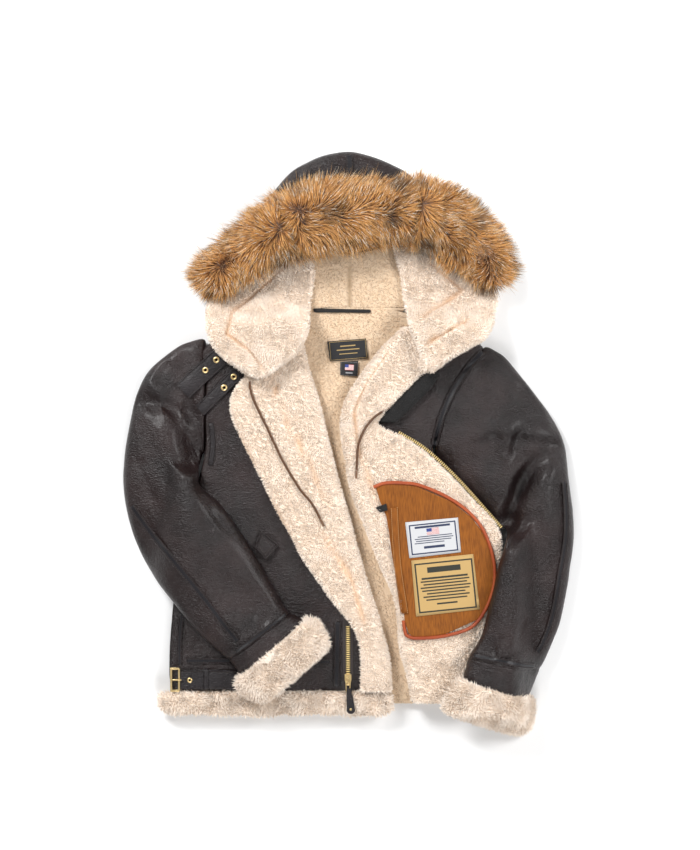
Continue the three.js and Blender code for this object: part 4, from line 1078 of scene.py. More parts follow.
    def grow(self, piece: bpy.types.Object, fur: Fur, name: str, combed: Callable) -> bpy.types.Object:
        """Grows hair on those faces of a piece that have the hair's finish and aren't covered.

        Args:
            piece: The dressed piece. Its faces of the hair's finish grow hair.
            fur: The hair.
            name: The new piece's name.
            combed: Gives the direction in which hair is combed, from points and normals.

        Returns:
            The hair as one mesh.
        """
        slot = [m.name for m in piece.data.materials].index(self.materials[fur.finish].name)
        covers = [self.packed_tree(node) for node in fur.under]
        bm = opened(piece.data)
        bare = []
        for face in bm.faces:
            centre = face.calc_center_median()
            low = face.normal.z < HAIR_STEEPEST or centre.z < HAIR_LOWEST * MM
            hidden = low or face.material_index != slot
            if not hidden and face.normal.z > 0:
                hidden = any(tree.ray_cast(centre - UP * 4 * MM, UP)[0] for tree in covers)
            if hidden:
                bare.append(face)
        bmesh.ops.delete(bm, geom=bare, context="FACES")
        mesh = mesh_of(bm, name)
        directions = combed(points_of(mesh), normals_of(mesh))
        comb = mesh.attributes.new("comb", "FLOAT_VECTOR", "POINT")
        comb.data.foreach_set("vector", directions.astype(np.float32).ravel())
        hair = self.bristles.run(linked(name + "_ground", mesh), name, {
            "Strand": self.strands[fur.strand],
            "Strands per square metre": fur.density,
            "Shortest": fur.shortest,
            "Longest": fur.longest,
            "Comb": fur.comb,
            "Stray": fur.stray,
            "Seed": fur.seed,
            "Finish": self.materials[fur.finish],
        })
        spots = points_of(hair.data)
        height = spots[:, 2] / MM
        under = np.minimum(height - HAIR_FLOOR, 0)
        over = np.maximum(height - HAIR_EASES, 0)
        bent_up = FLOOR_SPAN * (np.exp(under / FLOOR_SPAN) - 1)
        bent_down = HAIR_SPAN * (1 - np.exp(-over / HAIR_SPAN))
        spots[:, 2] = (height - under + bent_up - over + bent_down) * MM
        set_points(hair.data, spots)
        return hair

    def laid(
        self, routes: Sequence[Sequence[Point]], over: Sequence[str], top: float, lift: float,
        dressed: bool = True, groove: float = 0.0,
    ) -> list[list[Place]]:
        """Lines of places on the surfaces along routes.

        Args:
            routes: Lines of places in millimetres.
            over: The nodes that carry them.
            top: Where to look down from, in millimetres.
            lift: How far above the surface the lines lie, in millimetres.
            dressed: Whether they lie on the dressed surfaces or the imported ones.
            groove: How far towards hem and hood the banks of a groove under them are, in millimetres.

        Returns:
            One line of places in metres for each route that has a surface under it.
        """
        lines = []
        for route in routes:
            places = []
            for x, y in eased(route, SEAM_STEP):
                banks = {y - groove, y + groove}
                found = [self.height(x * MM, bank * MM, top * MM, over, dressed) for bank in banks]
                if None not in found:
                    places.append((x * MM, y * MM, max(found) + lift * MM))
            if len(places) > 1:
                lines.append(places)
        return lines

    def piping(
        self, name: str, routes: Sequence[Sequence[Point]], over: Sequence[str], top: float,
        radius: float, finish: Finish, lift: float = 0.3, dressed: bool = True, groove: float = 0.0,
    ) -> bpy.types.Object:
        """Thin raised edges along routes on the surfaces.

        Args:
            name: The new piece's name.
            routes: Lines of places in millimetres.
            over: The nodes that carry them.
            top: Where to look down from, in millimetres.
            radius: How thick an edge is, in millimetres.
            finish: Its finish.
            lift: How far its middle lies above the surface, in millimetres.
            dressed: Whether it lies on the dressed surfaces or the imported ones.
            groove: How far away the banks of a groove under it are, as laid takes it.

        Returns:
            All the edges as one mesh.
        """
        host = rod(name + "_curve", self.laid(routes, over, top, lift, dressed, groove), radius, 2)
        mesh = baked(host)
        bpy.data.objects.remove(host)
        return self.finish(linked(name, mesh), finish)

    def row_of(
        self, name: str, lines: Sequence[Sequence[Place]], unit: bpy.types.Object, spacing: float,
        finish: Finish,
    ) -> bpy.types.Object:
        """A small piece set again and again along lines.

        Args:
            name: The new piece's name.
            lines: Lines of places in metres.
            unit: What is repeated.
            spacing: From one to the next, in millimetres.
            finish: Its finish.

        Returns:
            All of them as one mesh.
        """
        bm = bmesh.new()
        for places in lines:
            edges = [(i, i + 1) for i in range(len(places) - 1)]
            mesh = bpy.data.meshes.new(name + "_line")
            mesh.from_pydata([tuple(place) for place in places], edges, [])
            row = self.rows.run(linked(name + "_line", mesh), name + "_row", {
                "Piece": unit, "Spacing": spacing * MM, "Finish": self.materials[finish],
            })
            bm.from_mesh(row.data)
            bpy.data.objects.remove(row)
        joined = mesh_of(bm, name)
        joined.materials.append(self.materials[finish])
        return linked(name, joined)

    def stitches(
        self, name: str, routes: Sequence[Sequence[Point]], over: Sequence[str], top: float,
        spacing: float = 4.2, finish: Finish = Finish.SEWING, lift: float = 0.15,
    ) -> bpy.types.Object:
        """Rows of stitches along routes on the dressed surfaces.

        Args:
            name: The new piece's name.
            routes: Lines of places in millimetres.
            over: The nodes that carry them.
            top: Where to look down from, in millimetres.
            spacing: From one stitch to the next, in millimetres.
            finish: The thread.
            lift: How far a stitch stands above the surface, in millimetres.

        Returns:
            All the rows as one mesh.
        """
        stitch = small_box("stitch", spacing * 0.72, 0.9, 0.55, 0.35)
        return self.row_of(name, self.laid(routes, over, top, lift), stitch, spacing, finish)


def eased(route: Sequence[Point], step: float) -> list[Point]:
    """Places about step millimetres apart on a smooth curve through a route's places."""
    spots = [np.array(p, float) for p in route]
    spots = [2 * spots[0] - spots[1], *spots, 2 * spots[-1] - spots[-2]]
    made = []
    for a, b, c, d in zip(spots, spots[1:], spots[2:], spots[3:]):
        count = max(1, round(float(np.linalg.norm(c - b)) / step))
        for i in range(count):
            t = i / count
            made.append(0.5 * (
                2 * b + (c - a) * t + (2 * a - 5 * b + 4 * c - d) * t * t + (3 * b - a - 3 * c + d) * t**3
            ))
    made.append(spots[-2])
    return [tuple(float(v) for v in p) for p in made]


def beside(route: Sequence[Point], shift: float) -> list[Point]:
    """A route moved sideways by so many millimetres."""
    spots = np.array(eased(route, 8.0))
    along = np.gradient(spots, axis=0)
    along /= np.linalg.norm(along, axis=1)[:, None]
    return [tuple(p) for p in spots + shift * np.stack([-along[:, 1], along[:, 0]], axis=1)]


def both_sides(route: Sequence[Point], shift: float) -> list[list[Point]]:
    """The two lines that run beside a route, shift millimetres from it."""
    return [beside(route, side * shift) for side in (-1, 1)]


def sides_of(spots: Sequence[Point]) -> list[list[Point]]:
    """The sides of a closed shape, each from one corner to the next."""
    return [[a, b] for a, b in zip(spots, [*spots[1:], spots[0]])]


def small_box(name: str, length: float, width: float, height: float, taper: float) -> bpy.types.Object:
    """A box with tapered ends and top, along X, for stitches and teeth. Sizes in millimetres."""
    bm = bmesh.new()
    rows = []
    for share, wide in ((-0.5, taper), (-0.28, 1.0), (0.28, 1.0), (0.5, taper)):
        x = share * length
        half = width * wide / 2
        tall = height * wide
        rows.append([
            bm.verts.new(Vector(p) * MM)
            for p in ((x, -half, 0), (x, half, 0), (x, half * 0.6, tall), (x, -half * 0.6, tall))
        ])
    for lower, upper in zip(rows, rows[1:]):
        for k in range(4):
            bm.faces.new((lower[k], lower[(k + 1) % 4], upper[(k + 1) % 4], upper[k]))
    bm.faces.new(reversed(rows[0]))
    bm.faces.new(rows[-1])
    bmesh.ops.recalc_face_normals(bm, faces=bm.faces)
    return bpy.data.objects.new(name, mesh_of(bm, name))


def clumped(size: float, shift: float = 0.0) -> Callable[[np.ndarray, np.ndarray], np.ndarray]:
    """Wool that lies one way and another in clumps of about size millimetres."""
    def combed(points: np.ndarray, normals: np.ndarray) -> np.ndarray:
        """The direction at each point."""
        scale = 1 / (size * MM)
        drift = Vector((shift, 7.3, 3.1))
        way = np.array([tuple(noise.noise_vector(Vector(p) * scale + drift)) for p in points])
        way -= normals * (way * normals).sum(axis=1)[:, None]
        return way * 2.2
    return combed


@dataclass
class Panel:
    """One sheepskin piece of the coat: its solid's form, rounded, with its own creases and finishes."""

    node: str
    slot: str
    level: int
    finishes: tuple[Finish, ...]
    side: Callable[[np.ndarray, np.ndarray], np.ndarray]
    cut: Cut | None = None
    creases: tuple[Crease, ...] = ()
    rumple: tuple[tuple[float, float], ...] = ((46.0, 1.1), (17.0, 0.35))
    clumps: tuple[tuple[float, float], ...] = ((24.0, 1.0), (9.0, 0.45))
    pile_sink: float = 2.8
    fur: tuple[Fur, ...] = ()
    combed: Callable = field(default_factory=lambda: clumped(26))

    def build(self, shop: Workshop) -> None:
        """Rounds the piece, creases it, paints its faces and grows its pile."""
        piece = shop.rounded(self.node, self.level, self.node + "_skin")
        mesh = piece.data
        faces = len(mesh.polygons)
        centres = np.empty(faces * 3)
        ways = np.empty(faces * 3)
        mesh.polygons.foreach_get("center", centres)
        mesh.polygons.foreach_get("normal", ways)
        index = self.side(centres.reshape(-1, 3) / MM, ways.reshape(-1, 3))
        mesh.materials.clear()
        for finish in self.finishes:
            mesh.materials.append(shop.materials[finish])
        mesh.polygons.foreach_set("material_index", index.astype(np.int32))
        self._relieve(mesh, index)
        mesh.shade_smooth()
        shop.remember(self.node, piece)
        hair = []
        for number, fur in enumerate(self.fur):
            name = f"{self.node}_pile" + (f"_{number + 1}" if number else "")
            grown = shop.grow(piece, fur, name, self.combed)
            hair.append(shop.keep(grown, fur.slot))
        shop.keep(piece, self.slot, self.node, cut=self.cut, goes_with=hair)
        not self.cut

    def _relieve(self, mesh: bpy.types.Mesh, index: np.ndarray) -> None:
        """Moves the points for creases, rumples and clumps."""
        points, normals = points_of(mesh), normals_of(mesh)
        # groove marks the seam creases: it shortens the tufts there, and the wool finishes paint shade along
        # it
        groove = np.zeros(len(points))
        for seam in (crease for crease in self.creases if crease.is_seam):
            groove += seam.sink(points / MM) / seam.depth
        mesh.attributes.new("groove", "FLOAT", "POINT").data.foreach_set("value", groove.astype(np.float32))
        woolly = np.zeros(len(points))
        loops = np.empty(len(mesh.loops), np.int32)
        mesh.loops.foreach_get("vertex_index", loops)
        sizes = np.empty(len(mesh.polygons), np.int32)
        mesh.polygons.foreach_get("loop_total", sizes)
        hairy = np.array([isinstance(f.value, (Pile, LongFur)) for f in self.finishes])[index]
        np.maximum.at(woolly, loops, np.repeat(hairy.astype(float), sizes))
        lifted = np.clip(normals[:, 2] * 2 + 0.4, 0, 1)
        sink = np.zeros(len(points))
        for crease in self.creases:
            sink += crease.sink(points / MM) * np.clip(normals[:, 2] * 1.6, 0, 1)
        plain = sum(depth * noise_at(points, size, 4.0) for size, depth in self.rumple)
        wool = sum(depth * noise_at(points, size, 9.0) for size, depth in self.clumps) - self.pile_sink
        off_floor = smooth(0.5, 6.0, points[:, 2] / MM)
        move = np.where(woolly > 0, wool * np.clip(lifted + 0.35, 0, 1), plain * lifted) * off_floor - sink
        points += normals * (move * MM)[:, None]
        points[:, 2] = np.maximum(points[:, 2], 0.0)
        set_points(mesh, points)


def all_one(_centres: np.ndarray, ways: np.ndarray) -> np.ndarray:
    """Every face has the piece's first finish."""
    return np.zeros(len(ways), int)


def folded_side(centres: np.ndarray, ways: np.ndarray) -> np.ndarray:
    """A folded front: skin inside the fold and on the lower layer's top, wool elsewhere."""
    z = centres[:, 2]
    lower_top = (z > FRONT_TOP - 6) & (z < FRONT_TOP + 4) & (ways[:, 2] > 0.25)
    upper_under = (z > FRONT_TOP) & (z < FLAP_BOTTOM + 5) & (ways[:, 2] < -0.25)
    side_seam = (z < FRONT_TOP + 1) & (abs(centres[:, 0]) > 110) & (abs(ways[:, 2]) < 0.9)
    return np.where(lower_top | upper_under | side_seam, 0, 1)


def hood_side(centres: np.ndarray, ways: np.ndarray) -> np.ndarray:
    """The hood: wool on the faces that look into its mouth, skin elsewhere."""
    z = centres[:, 2]
    lining = (z > HOOD_LINING - 5) & (z < HOOD_LINING + 4) & (ways[:, 2] > 0.25)
    roof = (z > HOOD_CROWN_UNDERSIDE - 4) & (z < HOOD_CROWN_UNDERSIDE + 5) & (ways[:, 2] < -0.25)
    rim = (centres[:, 1] < 300) & (z < HOOD_LINING + 4)
    return np.where(lining | roof | rim, 1, 0)


def back_side(centres: np.ndarray, ways: np.ndarray) -> np.ndarray:
    """The back: wool up and at the neck and hem, skin down and at the sides."""
    inner = abs(centres[:, 0]) < 150
    end = (centres[:, 1] < -362) | (centres[:, 1] > 258)
    return np.where((inner & (ways[:, 2] > 0.3)) | (end & (ways[:, 2] > -0.5)), 0, 1)


def pile_fur(seed: int, under: tuple[str, ...], longest: float = 1.15) -> Fur:
    """The cream wool of the fronts and hood sides."""
    return Fur(PILE_TUFT, Finish.PILE, "pile", PILE_DENSITY, 0.75, longest, 0.4, 0.3, seed, under)


def edge_fur(seed: int, under: tuple[str, ...] = ()) -> Fur:
    """The longer wool that stands out round the cuffs and the hem."""
    return Fur(EDGE_TUFT, Finish.PILE, "pile", EDGE_DENSITY, 0.6, 1.2, 0.75, 0.4, seed, under)


def lining_fur(seed: int, under: tuple[str, ...]) -> Fur:
    """The short tan wool of the lining."""
    return Fur(SHORT_TUFT, Finish.LINING, "lining_pile", LINING_DENSITY, 0.7, 1.15, 0.35, 0.4, seed, under)


@dataclass
class BodyPanels:
    """The back, the two fronts and the hem's fur."""

    covers: tuple[str, ...] = (
        "sleeve_right", "sleeve_left", "cuff_band_right", "cuff_band_left", "cuff_fur_right",
        "cuff_fur_left", "hood_side_right", "hood_side_left", "ruff_top",
    )

    def panels(self) -> list[Panel]:
        """The pieces, from the back up."""
        return [
            Panel(
                "back_panel", "lining_pile", 2, (Finish.LINING, Finish.HIDE), back_side,
                Cut((0.545, 0.657), "laid", ()),
                (Crease(((62, -302), (100, -302)), 3, 2.5), Crease(((66, -363), (112, -363)), 3, 2.5)),
                pile_sink=1.5,
                fur=(lining_fur(3, (
                    "front_right", "front_left", "neck_label", "size_label", "hanger_strip", *self.covers,
                )),),
            ),
            Panel(
                "front_right", "hide", 2, (Finish.HIDE, Finish.PILE), folded_side,
                Cut((0.42, 0.613), "folded", ("back_panel",)),
                (
                    Crease(((-262, -240), (-232, -252), (-205, -258)), 6, 3, high=30.5),
                    Crease(((-268, -270), (-236, -281), (-208, -282)), 6, 3, high=30.5),
                    Crease(((-255, -297), (-222, -301)), 5, 2.4, high=30.5),
                    Crease(((-225, 70), (-212, 10), (-190, -50)), 11, 2.5, high=30.5),
                    Crease(((-200, -60), (-172, -110), (-140, -160)), 9, -2.2, high=30.5),
                    Crease(((-124, 162), (-99, 83), (-74, 41), (-50, -8), (-25, -66)), 3.4, 4.2, low=34),
                    Crease(((-182, 66), (-137, -33), (-74, -149)), 5, 2.4, low=34),
                    Crease(((-40, -100), (10, -180), (34, -260)), 5, 2, low=34),
                ),
                fur=(pile_fur(11, self.covers),),
            ),
            Panel(
                "front_left", "hide", 2, (Finish.HIDE, Finish.PILE), folded_side,
                Cut((0.4, 0.619), "folded", ("back_panel",)),
                (
                    Crease(
                        ((72, 196), (36, 146), (16, 98), (20, 44), (40, -20), (52, -60)), 3.4, 3.2, low=34,
                    ),
                    Crease(((118, -290), (150, -300), (182, -286)), 8, 3.5, low=34),
                    Crease(((112, -330), (142, -346), (176, -330)), 8, 3.5, low=34),
                    Crease(((104, -306), (136, -318), (160, -312)), 7, -2.5, low=34),
                    Crease(((96, 60), (60, 30), (40, 8)), 8, 3, low=34),
                    Crease(((5, 190), (30, 222), (66, 256)), 4, 1.8, low=34),
                ),
                fur=(pile_fur(12, ("pocket_panel", *self.covers)),),
            ),
            Panel(
                "hem_fur_right", "pile", 2, (Finish.PILE,), all_one,
                clumps=((24.0, 1.8), (9.0, 1.1)), pile_sink=4.5,
                fur=(edge_fur(13, ("cuff_fur_right",)),),
            ),
        ]


@dataclass
class Sleeves:
    """The two sleeves with their cuffs."""

    def panels(self) -> list[Panel]:
        """The pieces of both sleeves."""
        right = (
            Crease(((-322, 152), (-296, 143), (-266, 130)), 6, 4.5),
            Crease(((-282, 134), (-262, 110), (-250, 84), (-244, 44), (-238, 10)), 11, 6),
            Crease(((-296, 100), (-280, 60), (-258, 16), (-236, -30)), 12, -2.5),
            Crease(((-348, 112), (-310, 112), (-282, 103), (-262, 92)), 7, 5.5),
            Crease(((-338, 90), (-306, 92), (-276, 80)), 8, -3),
            Crease(((-300, 180), (-284, 162), (-260, 152)), 6, 3.5),
            Crease(((-305, 116), (-276, 80), (-255, 48), (-242, 16)), 7, 4.5),
            Crease(((-345, 24), (-330, -16), (-312, -58)), 7, 2.5),
            Crease(((-262, 20), (-240, -30), (-214, -70), (-186, -110)), 8, 4),
            Crease(((-289, 66), (-236, -40), (-190, -124), (-132, -200)), 15, -2.6),
            Crease(((-150, -221), (-140, -238), (-133, -256)), 6, 4),
            Crease(((-205, -252), (-180, -272)), 6, 3),
        )
        left = (
            Crease(((204, 42), (256, 51), (310, 46), (368, 40)), 7, 7),
            Crease(((256, 35), (286, 27), (313, 15)), 7, 5),
            Crease(((313, 13), (300, -8), (289, -33), (276, -70), (264, -98)), 8, 8),
            Crease(((330, -16), (332, -110), (322, -214)), 14, -3),
            Crease(((240, -286), (238, -296), (247, -305)), 5, 6),
            Crease(((305, -247), (296, -266), (288, -281)), 6, 4),
            Crease(((182, 173), (220, 140), (258, 116)), 11, -2.4),
            Crease(((210, 184), (240, 160), (276, 140)), 8, 2),
            Crease(((170, 96), (196, 72), (236, 62)), 8, 2.6),
            Crease(((262, -140), (266, -190), (262, -236)), 8, 2),
            Crease(((340, 96), (350, 70), (352, 52)), 7, 2.6),
        )
        sleeves = {"right": ((0.34, 0.55), right), "left": ((0.36, 0.56), left)}
        bands = {
            "right": ((0.29, 0.043), (((-190, -318), (-84, -240)), ((-176, -333), (-74, -246)))),
            "left": ((0.29, 0.052), (((200, -314), (320, -340)), ((196, -338), (306, -370)))),
        }
        return [
            *(
                Panel(
                    f"sleeve_{side}", "hide", 2, (Finish.HIDE,), all_one,
                    Cut(flat, "laid", (f"front_{side}",)), creases,
                )
                for side, (flat, creases) in sleeves.items()
            ),
            *(
                Panel(
                    f"cuff_band_{side}", "hide", 3, (Finish.HIDE,), all_one, Cut(flat, "laid", ()),
                    tuple(Crease(seam, 2.4, 1.4) for seam in seams), ((30.0, 1.0), (12.0, 0.5)),
                )
                for side, (flat, seams) in bands.items()
            ),
            *(
                Panel(
                    f"cuff_fur_{side}", "pile", 2, (Finish.PILE,), all_one,
                    clumps=((22.0, 2.0), (9.0, 1.2)), pile_sink=5.0, fur=(edge_fur(seed),),
                )
                for side, seed in (("right", 21), ("left", 22))
            ),
        ]


def ruff_combed(points: np.ndarray, normals: np.ndarray) -> np.ndarray:
    """Guard hair flows along the strip towards its ends and turns outwards at its edges, in locks."""
    ridge = np.array(Hood.ruff_line)
    flow = np.gradient(ridge, axis=0)
    flow /= np.linalg.norm(flow, axis=1)[:, None]
    spots = points[:, :2] / MM
    nearest = np.linalg.norm(spots[:, None, :] - ridge[None], axis=2).argmin(axis=1)
    away = (spots - ridge[nearest]) / 30
    side = smooth(-150, 0, spots[:, 0]) * 2 - 1
    lock = np.array([tuple(noise.noise_vector(Vector(p) * 30)) for p in points])
    level = away + 0.75 * side[:, None] * flow[nearest]
    way = np.column_stack([level, np.full(len(away), -0.1)]) + 1.3 * lock
    return way - normals * (way * normals).sum(axis=1)[:, None] * 0.6


@dataclass
class Hood:
    """The crown, the two sides turned out, and the long fur round the face."""

    ruffs = ("ruff_right", "ruff_top", "ruff_left")
    ruff_line = tuple(
        (float(x), float(y)) for x, y in eased(
            ((-228, 312), (-203, 330), (-165, 359), (-127, 385), (-82, 405), (-33, 416), (16, 420),
             (66, 425), (116, 425), (160, 413), (198, 388), (231, 352), (250, 320)), 6.0)
    )

    def panels(self) -> list[Panel]:
        """The pieces of the hood."""
        skin = Panel(
            "hood_shell", "hide", 2, (Finish.HIDE, Finish.LINING), hood_side,
            Cut((0.26, 0.46), "folded", ()),
            (
                Crease(((8, 262), (8, 300), (9, 345)), 3.5, 2.5, high=18),
                Crease(((-86, 500), (-66, 470), (-58, 440)), 8, 2.5, low=30),
                Crease(((64, 505), (48, 476), (46, 450)), 8, 2.5, low=30),
                Crease(((-30, 516), (-24, 490), (-24, 470)), 7, -2, low=30),
                Crease(((104, 486), (92, 470)), 7, 2.2, low=30),
            ),
            pile_sink=1.5,
            fur=(lining_fur(31, ("ruff_top", "hood_side_right", "hood_side_left")),),
        )
        sides = {
            "hood_side_right": (
                Crease(
                    ((-92, 342), (-140, 300), (-186, 262), (-193, 224), (-158, 198), (-132, 164)), 3.4, 4.2,
                ),
                Crease(((-112, 320), (-104, 280), (-108, 240)), 14, -3),
            ),
            "hood_side_left": (
                Crease(((140, 343), (170, 318), (193, 297), (160, 274), (124, 251)), 3.4, 4.2),
                Crease(((132, 206), (168, 228), (206, 251)), 3.4, 3.8),
                Crease(((140, 290), (156, 262), (150, 230)), 14, -3),
            ),
        }
        wings = [
            Panel(
                node, "pile", 3, (Finish.PILE,), all_one, None, creases, clumps=((24.0, 2.0), (9.0, 1.0)),
                fur=(pile_fur(32 + number, self.ruffs, 1.25),),
            )
            for number, (node, creases) in enumerate(sides.items())
        ]
        ruffs = [
            Panel(
                node, "ruff_fur", 2, (Finish.RUFF,), all_one, None, clumps=((30.0, 4.0), (13.0, 2.2)),
                pile_sink=13.0, combed=ruff_combed,
                fur=(
                    Fur(
                        GUARD_HAIR, Finish.RUFF, "ruff_fur", RUFF_DENSITY, 0.6, 1.15, 1.25, 0.4, 40 + number,
                    ),
                    Fur(WISP, Finish.RUFF, "ruff_fur", WISP_DENSITY, 0.6, 1.1, 1.0, 0.6, 44 + number),
                ),
            )
            for number, node in enumerate(self.ruffs)
        ]
        return [skin, *wings, *ruffs]


@dataclass(frozen=True)
class Tape:
    """A seam tape: its route in millimetres, how wide it is and what carries it."""

    node: str
    route: tuple[Point, ...]
    width: float
    over: tuple[str, ...]
    top: float = OVER_ALL


@dataclass
class SeamTapes:
    """The dark tapes over the seams, each with two rows of stitches."""

    thickness: float = 1.6
    stitch_margin: float = 2.2
    edge_margin: float = 0.5
    tapes: tuple[Tape, ...] = (
        Tape("tape_sleeve_right", (
            (-352, -60), (-322, -101), (-289, -137), (-256, -177), (-223, -218), (-196, -254), (-176, -278),
        ), 10, ("sleeve_right",)),
        Tape("tape_cuff_right", ((-178, -296), (-137, -266), (-97, -236)), 9, ("sleeve_right",)),
        Tape("tape_cuff_left", ((210, -301), (260, -310), (312, -324)), 9, ("sleeve_left",)),
        Tape("tape_armhole_left", (
            (228, 196), (206, 172), (181, 135), (163, 96), (152, 60), (148, 40),
        ), 11, ("sleeve_left", "front_left")),
        Tape("tape_sleeve_left", (
            (362, -20), (365, -66), (364, -116), (354, -176), (345, -231), (331, -276), (318, -300),
        ), 9, ("sleeve_left",)),
        Tape("tape_hem_right", ((-262, -316), (-150, -316), (-26, -318)), 9, ("front_right",), OVER_FRONT),
        Tape("tape_front_right", ((-12, -252), (-13, -300), (-14, -358)), 11, ("front_right",), OVER_FRONT),
        Tape("tape_side_right", ((-270, -238), (-274, -280), (-274, -322)), 8, ("front_right",), OVER_FRONT),
        Tape("tape_hood", ((7, 520), (8, 500), (9, 482)), 12, ("hood_shell",)),
    )

    def build(self, shop: Workshop) -> None:
        """Lays each tape on its dressed seam and sews it down."""
        for tape in self.tapes:
            piece = linked(tape.node + "_sewn", shop.merged(tape.node))
            shop.hug(piece, tape.over, self.thickness)
            divided(piece, 1)
            shop.finish(piece, Finish.TAPE)
            shop.remember(tape.node, piece)
            shop.keep(piece, "seam_tape", tape.node)
            rows = both_sides(tape.route, tape.width / 2 - self.stitch_margin)
            sewn = shop.stitches(tape.node + "_stitches", rows, (tape.node,), tape.top)
            shop.keep(sewn, "seam_tape")
            edges = both_sides(tape.route, tape.width / 2 - self.edge_margin)
            under = (tape.node, *tape.over)
            ridge = shop.piping(tape.node + "_edges", edges, under, tape.top, 0.8, Finish.HIDE)
            shop.keep(ridge, "seam_tape")


@dataclass
class Straps:
    """The collar's straps and their eyelets, the waist strap with its buckle, the loops and the tab."""

    stitch_margin: float = 2.4
    edge_margin: float = 1.0
    stitch_lift: float = 0.05
    tab: tuple[Point, ...] = ((-139, -103), (-112, -124), (-131, -148), (-148, -128))
    tab_stitches: float = 0.62

    def build(self, shop: Workshop) -> None:
        """Makes every strap and what is on it."""
        both = ("front_right", "sleeve_right")
        strap_rows = {
            "collar_strap_upper": (((-204, 189), (-236, 160), (-268, 130)), 31, both),
            "collar_strap_lower": (((-175, 163), (-208, 130), (-240, 98)), 21, both),
            "waist_strap": (((-280, -347), (-216, -347), (-150, -348)), 31, ("front_right",)),
        }
        for node, (route, width, over) in strap_rows.items():
            piece = shop.edged(node, node + "_hide", 0.7, Finish.STRAP)
            shop.follow(piece, over)
            shop.remember(node, piece)
            shop.keep(piece, "hide", node)
            rows = both_sides(route, width / 2 - self.stitch_margin)
            sewn = shop.stitches(node + "_stitches", rows, (node,), OVER_STRAPS, lift=self.stitch_lift)
            shop.keep(sewn, "hide")
            edges = both_sides(route, width / 2 - self.edge_margin)
            shop.keep(shop.piping(node + "_edges", edges, (node,), OVER_STRAPS, 0.9, Finish.STRAP), "hide")
        loops = {
            "strap_loop": (2.4, ("front_right",)),
            "waist_keeper": (1.8, ("front_right", "waist_strap")),
        }
        for node, (thickness, over) in loops.items():
            piece = linked(node + "_hide", shop.merged(node))
            shop.hug(piece, over, thickness)
            shop.keep(shop.finish(piece, Finish.STRAP, 50), "hide", node)
        self._tab(shop)
        self._brass(shop)

    def _tab(self, shop: Workshop) -> None:
        """The pointed tab on the pocket's flap, plump, with a row of stitches round it."""
        piece = shop.edged("pocket_flap_tab", "pocket_flap_tab_hide", 1.6, Finish.HIDE)
        shop.follow(piece, ("front_right",))
        shop.remember("pocket_flap_tab", piece)
        shop.keep(piece, "hide", "pocket_flap_tab")
        under = ("pocket_flap_tab", "front_right")
        rim = shop.piping(
            "pocket_flap_tab_rim", sides_of(self.tab), under, OVER_STRAPS, 1.6, Finish.HIDE,
        )
        shop.keep(rim, "hide")
        middle = np.mean(self.tab, axis=0)
        inner = [tuple(middle + self.tab_stitches * (np.array(spot) - middle)) for spot in self.tab]
        sewn = shop.stitches(
            "pocket_flap_tab_stitches", sides_of(inner), ("pocket_flap_tab",), OVER_STRAPS, 3.2,
            lift=self.stitch_lift,
        )
        shop.keep(sewn, "hide")

    def _brass(self, shop: Workshop) -> None:
        """Eyelets, buckle and prong."""
        for node in ("eyelet_1", "eyelet_2", "eyelet_3", "eyelet_4", "waist_eyelet"):
            piece = shop.rounded(node, 1, node + "_brass")
            shop.keep(shop.finish(piece, Finish.BRASS), "brass", node)
        for node in ("waist_buckle", "waist_prong"):
            shop.keep(shop.edged(node, node + "_brass", 0.7, Finish.BRASS), "brass", node)


@dataclass
class Zip:
    """The front zip: tapes, teeth, slider and pull."""

    pitch: float = 3.5
    left_edge: tuple[Point, ...] = (
        (87, 57), (124, 35), (157, 7), (190, -26), (223, -63), (254, -98),
    )
    right_x: float = 5.0
    right_from: float = -259.5
    right_to: float = -337.0
    left_shift: float = 5.2
    left_level: float = FLAP_BOTTOM + 0.1
    right_level: float = FRONT_TOP + 1.7

    def build(self, shop: Workshop) -> None:
        """Makes both halves and the slider with its pull."""
        for side in ("right", "left"):
            piece = shop.edged(f"zip_tape_{side}", f"zip_tape_{side}_woven", 0.2, Finish.ZIP_TAPE)
            shop.keep(piece, "seam_tape", f"zip_tape_{side}")
        left = [(x, y, self.left_level) for x, y in beside(self.left_edge, self.left_shift)]
        right = [(self.right_x, y, self.right_level) for y in (self.right_from, self.right_to)]
        halves = {
            "left": (left, small_box("zip_tooth", 1.8, 6.0, 2.3, 0.8)),
            "right": (right, small_box("zip_tooth_short", 1.7, 7.2, 2.2, 0.8)),
        }
        for side, (places, tooth) in halves.items():
            line = [(x * MM, y * MM, z * MM) for x, y, z in places]
            teeth = shop.row_of(f"zip_teeth_{side}", [line], tooth, self.pitch, Finish.TEETH)
            shop.keep(teeth, "brass", f"zip_chain_{side}")
        for node, name, edge, finish, slot, body in (
            ("zip_slider", "zip_slider_brass", 0.8, Finish.BRASS, "brass", COAT),
            ("zip_pull_link", "zip_pull_link_brass", 0.5, Finish.BRASS, "brass", PULL),
            ("zip_pull_leather", "zip_pull_hide", 0.8, Finish.STRAP, "hide", PULL),
            ("zip_pull_stud", "zip_pull_stud_brass", 0.3, Finish.BRASS, "brass", PULL),
        ):
            shop.keep(shop.edged(node, name, edge, finish), slot, node, body=body)


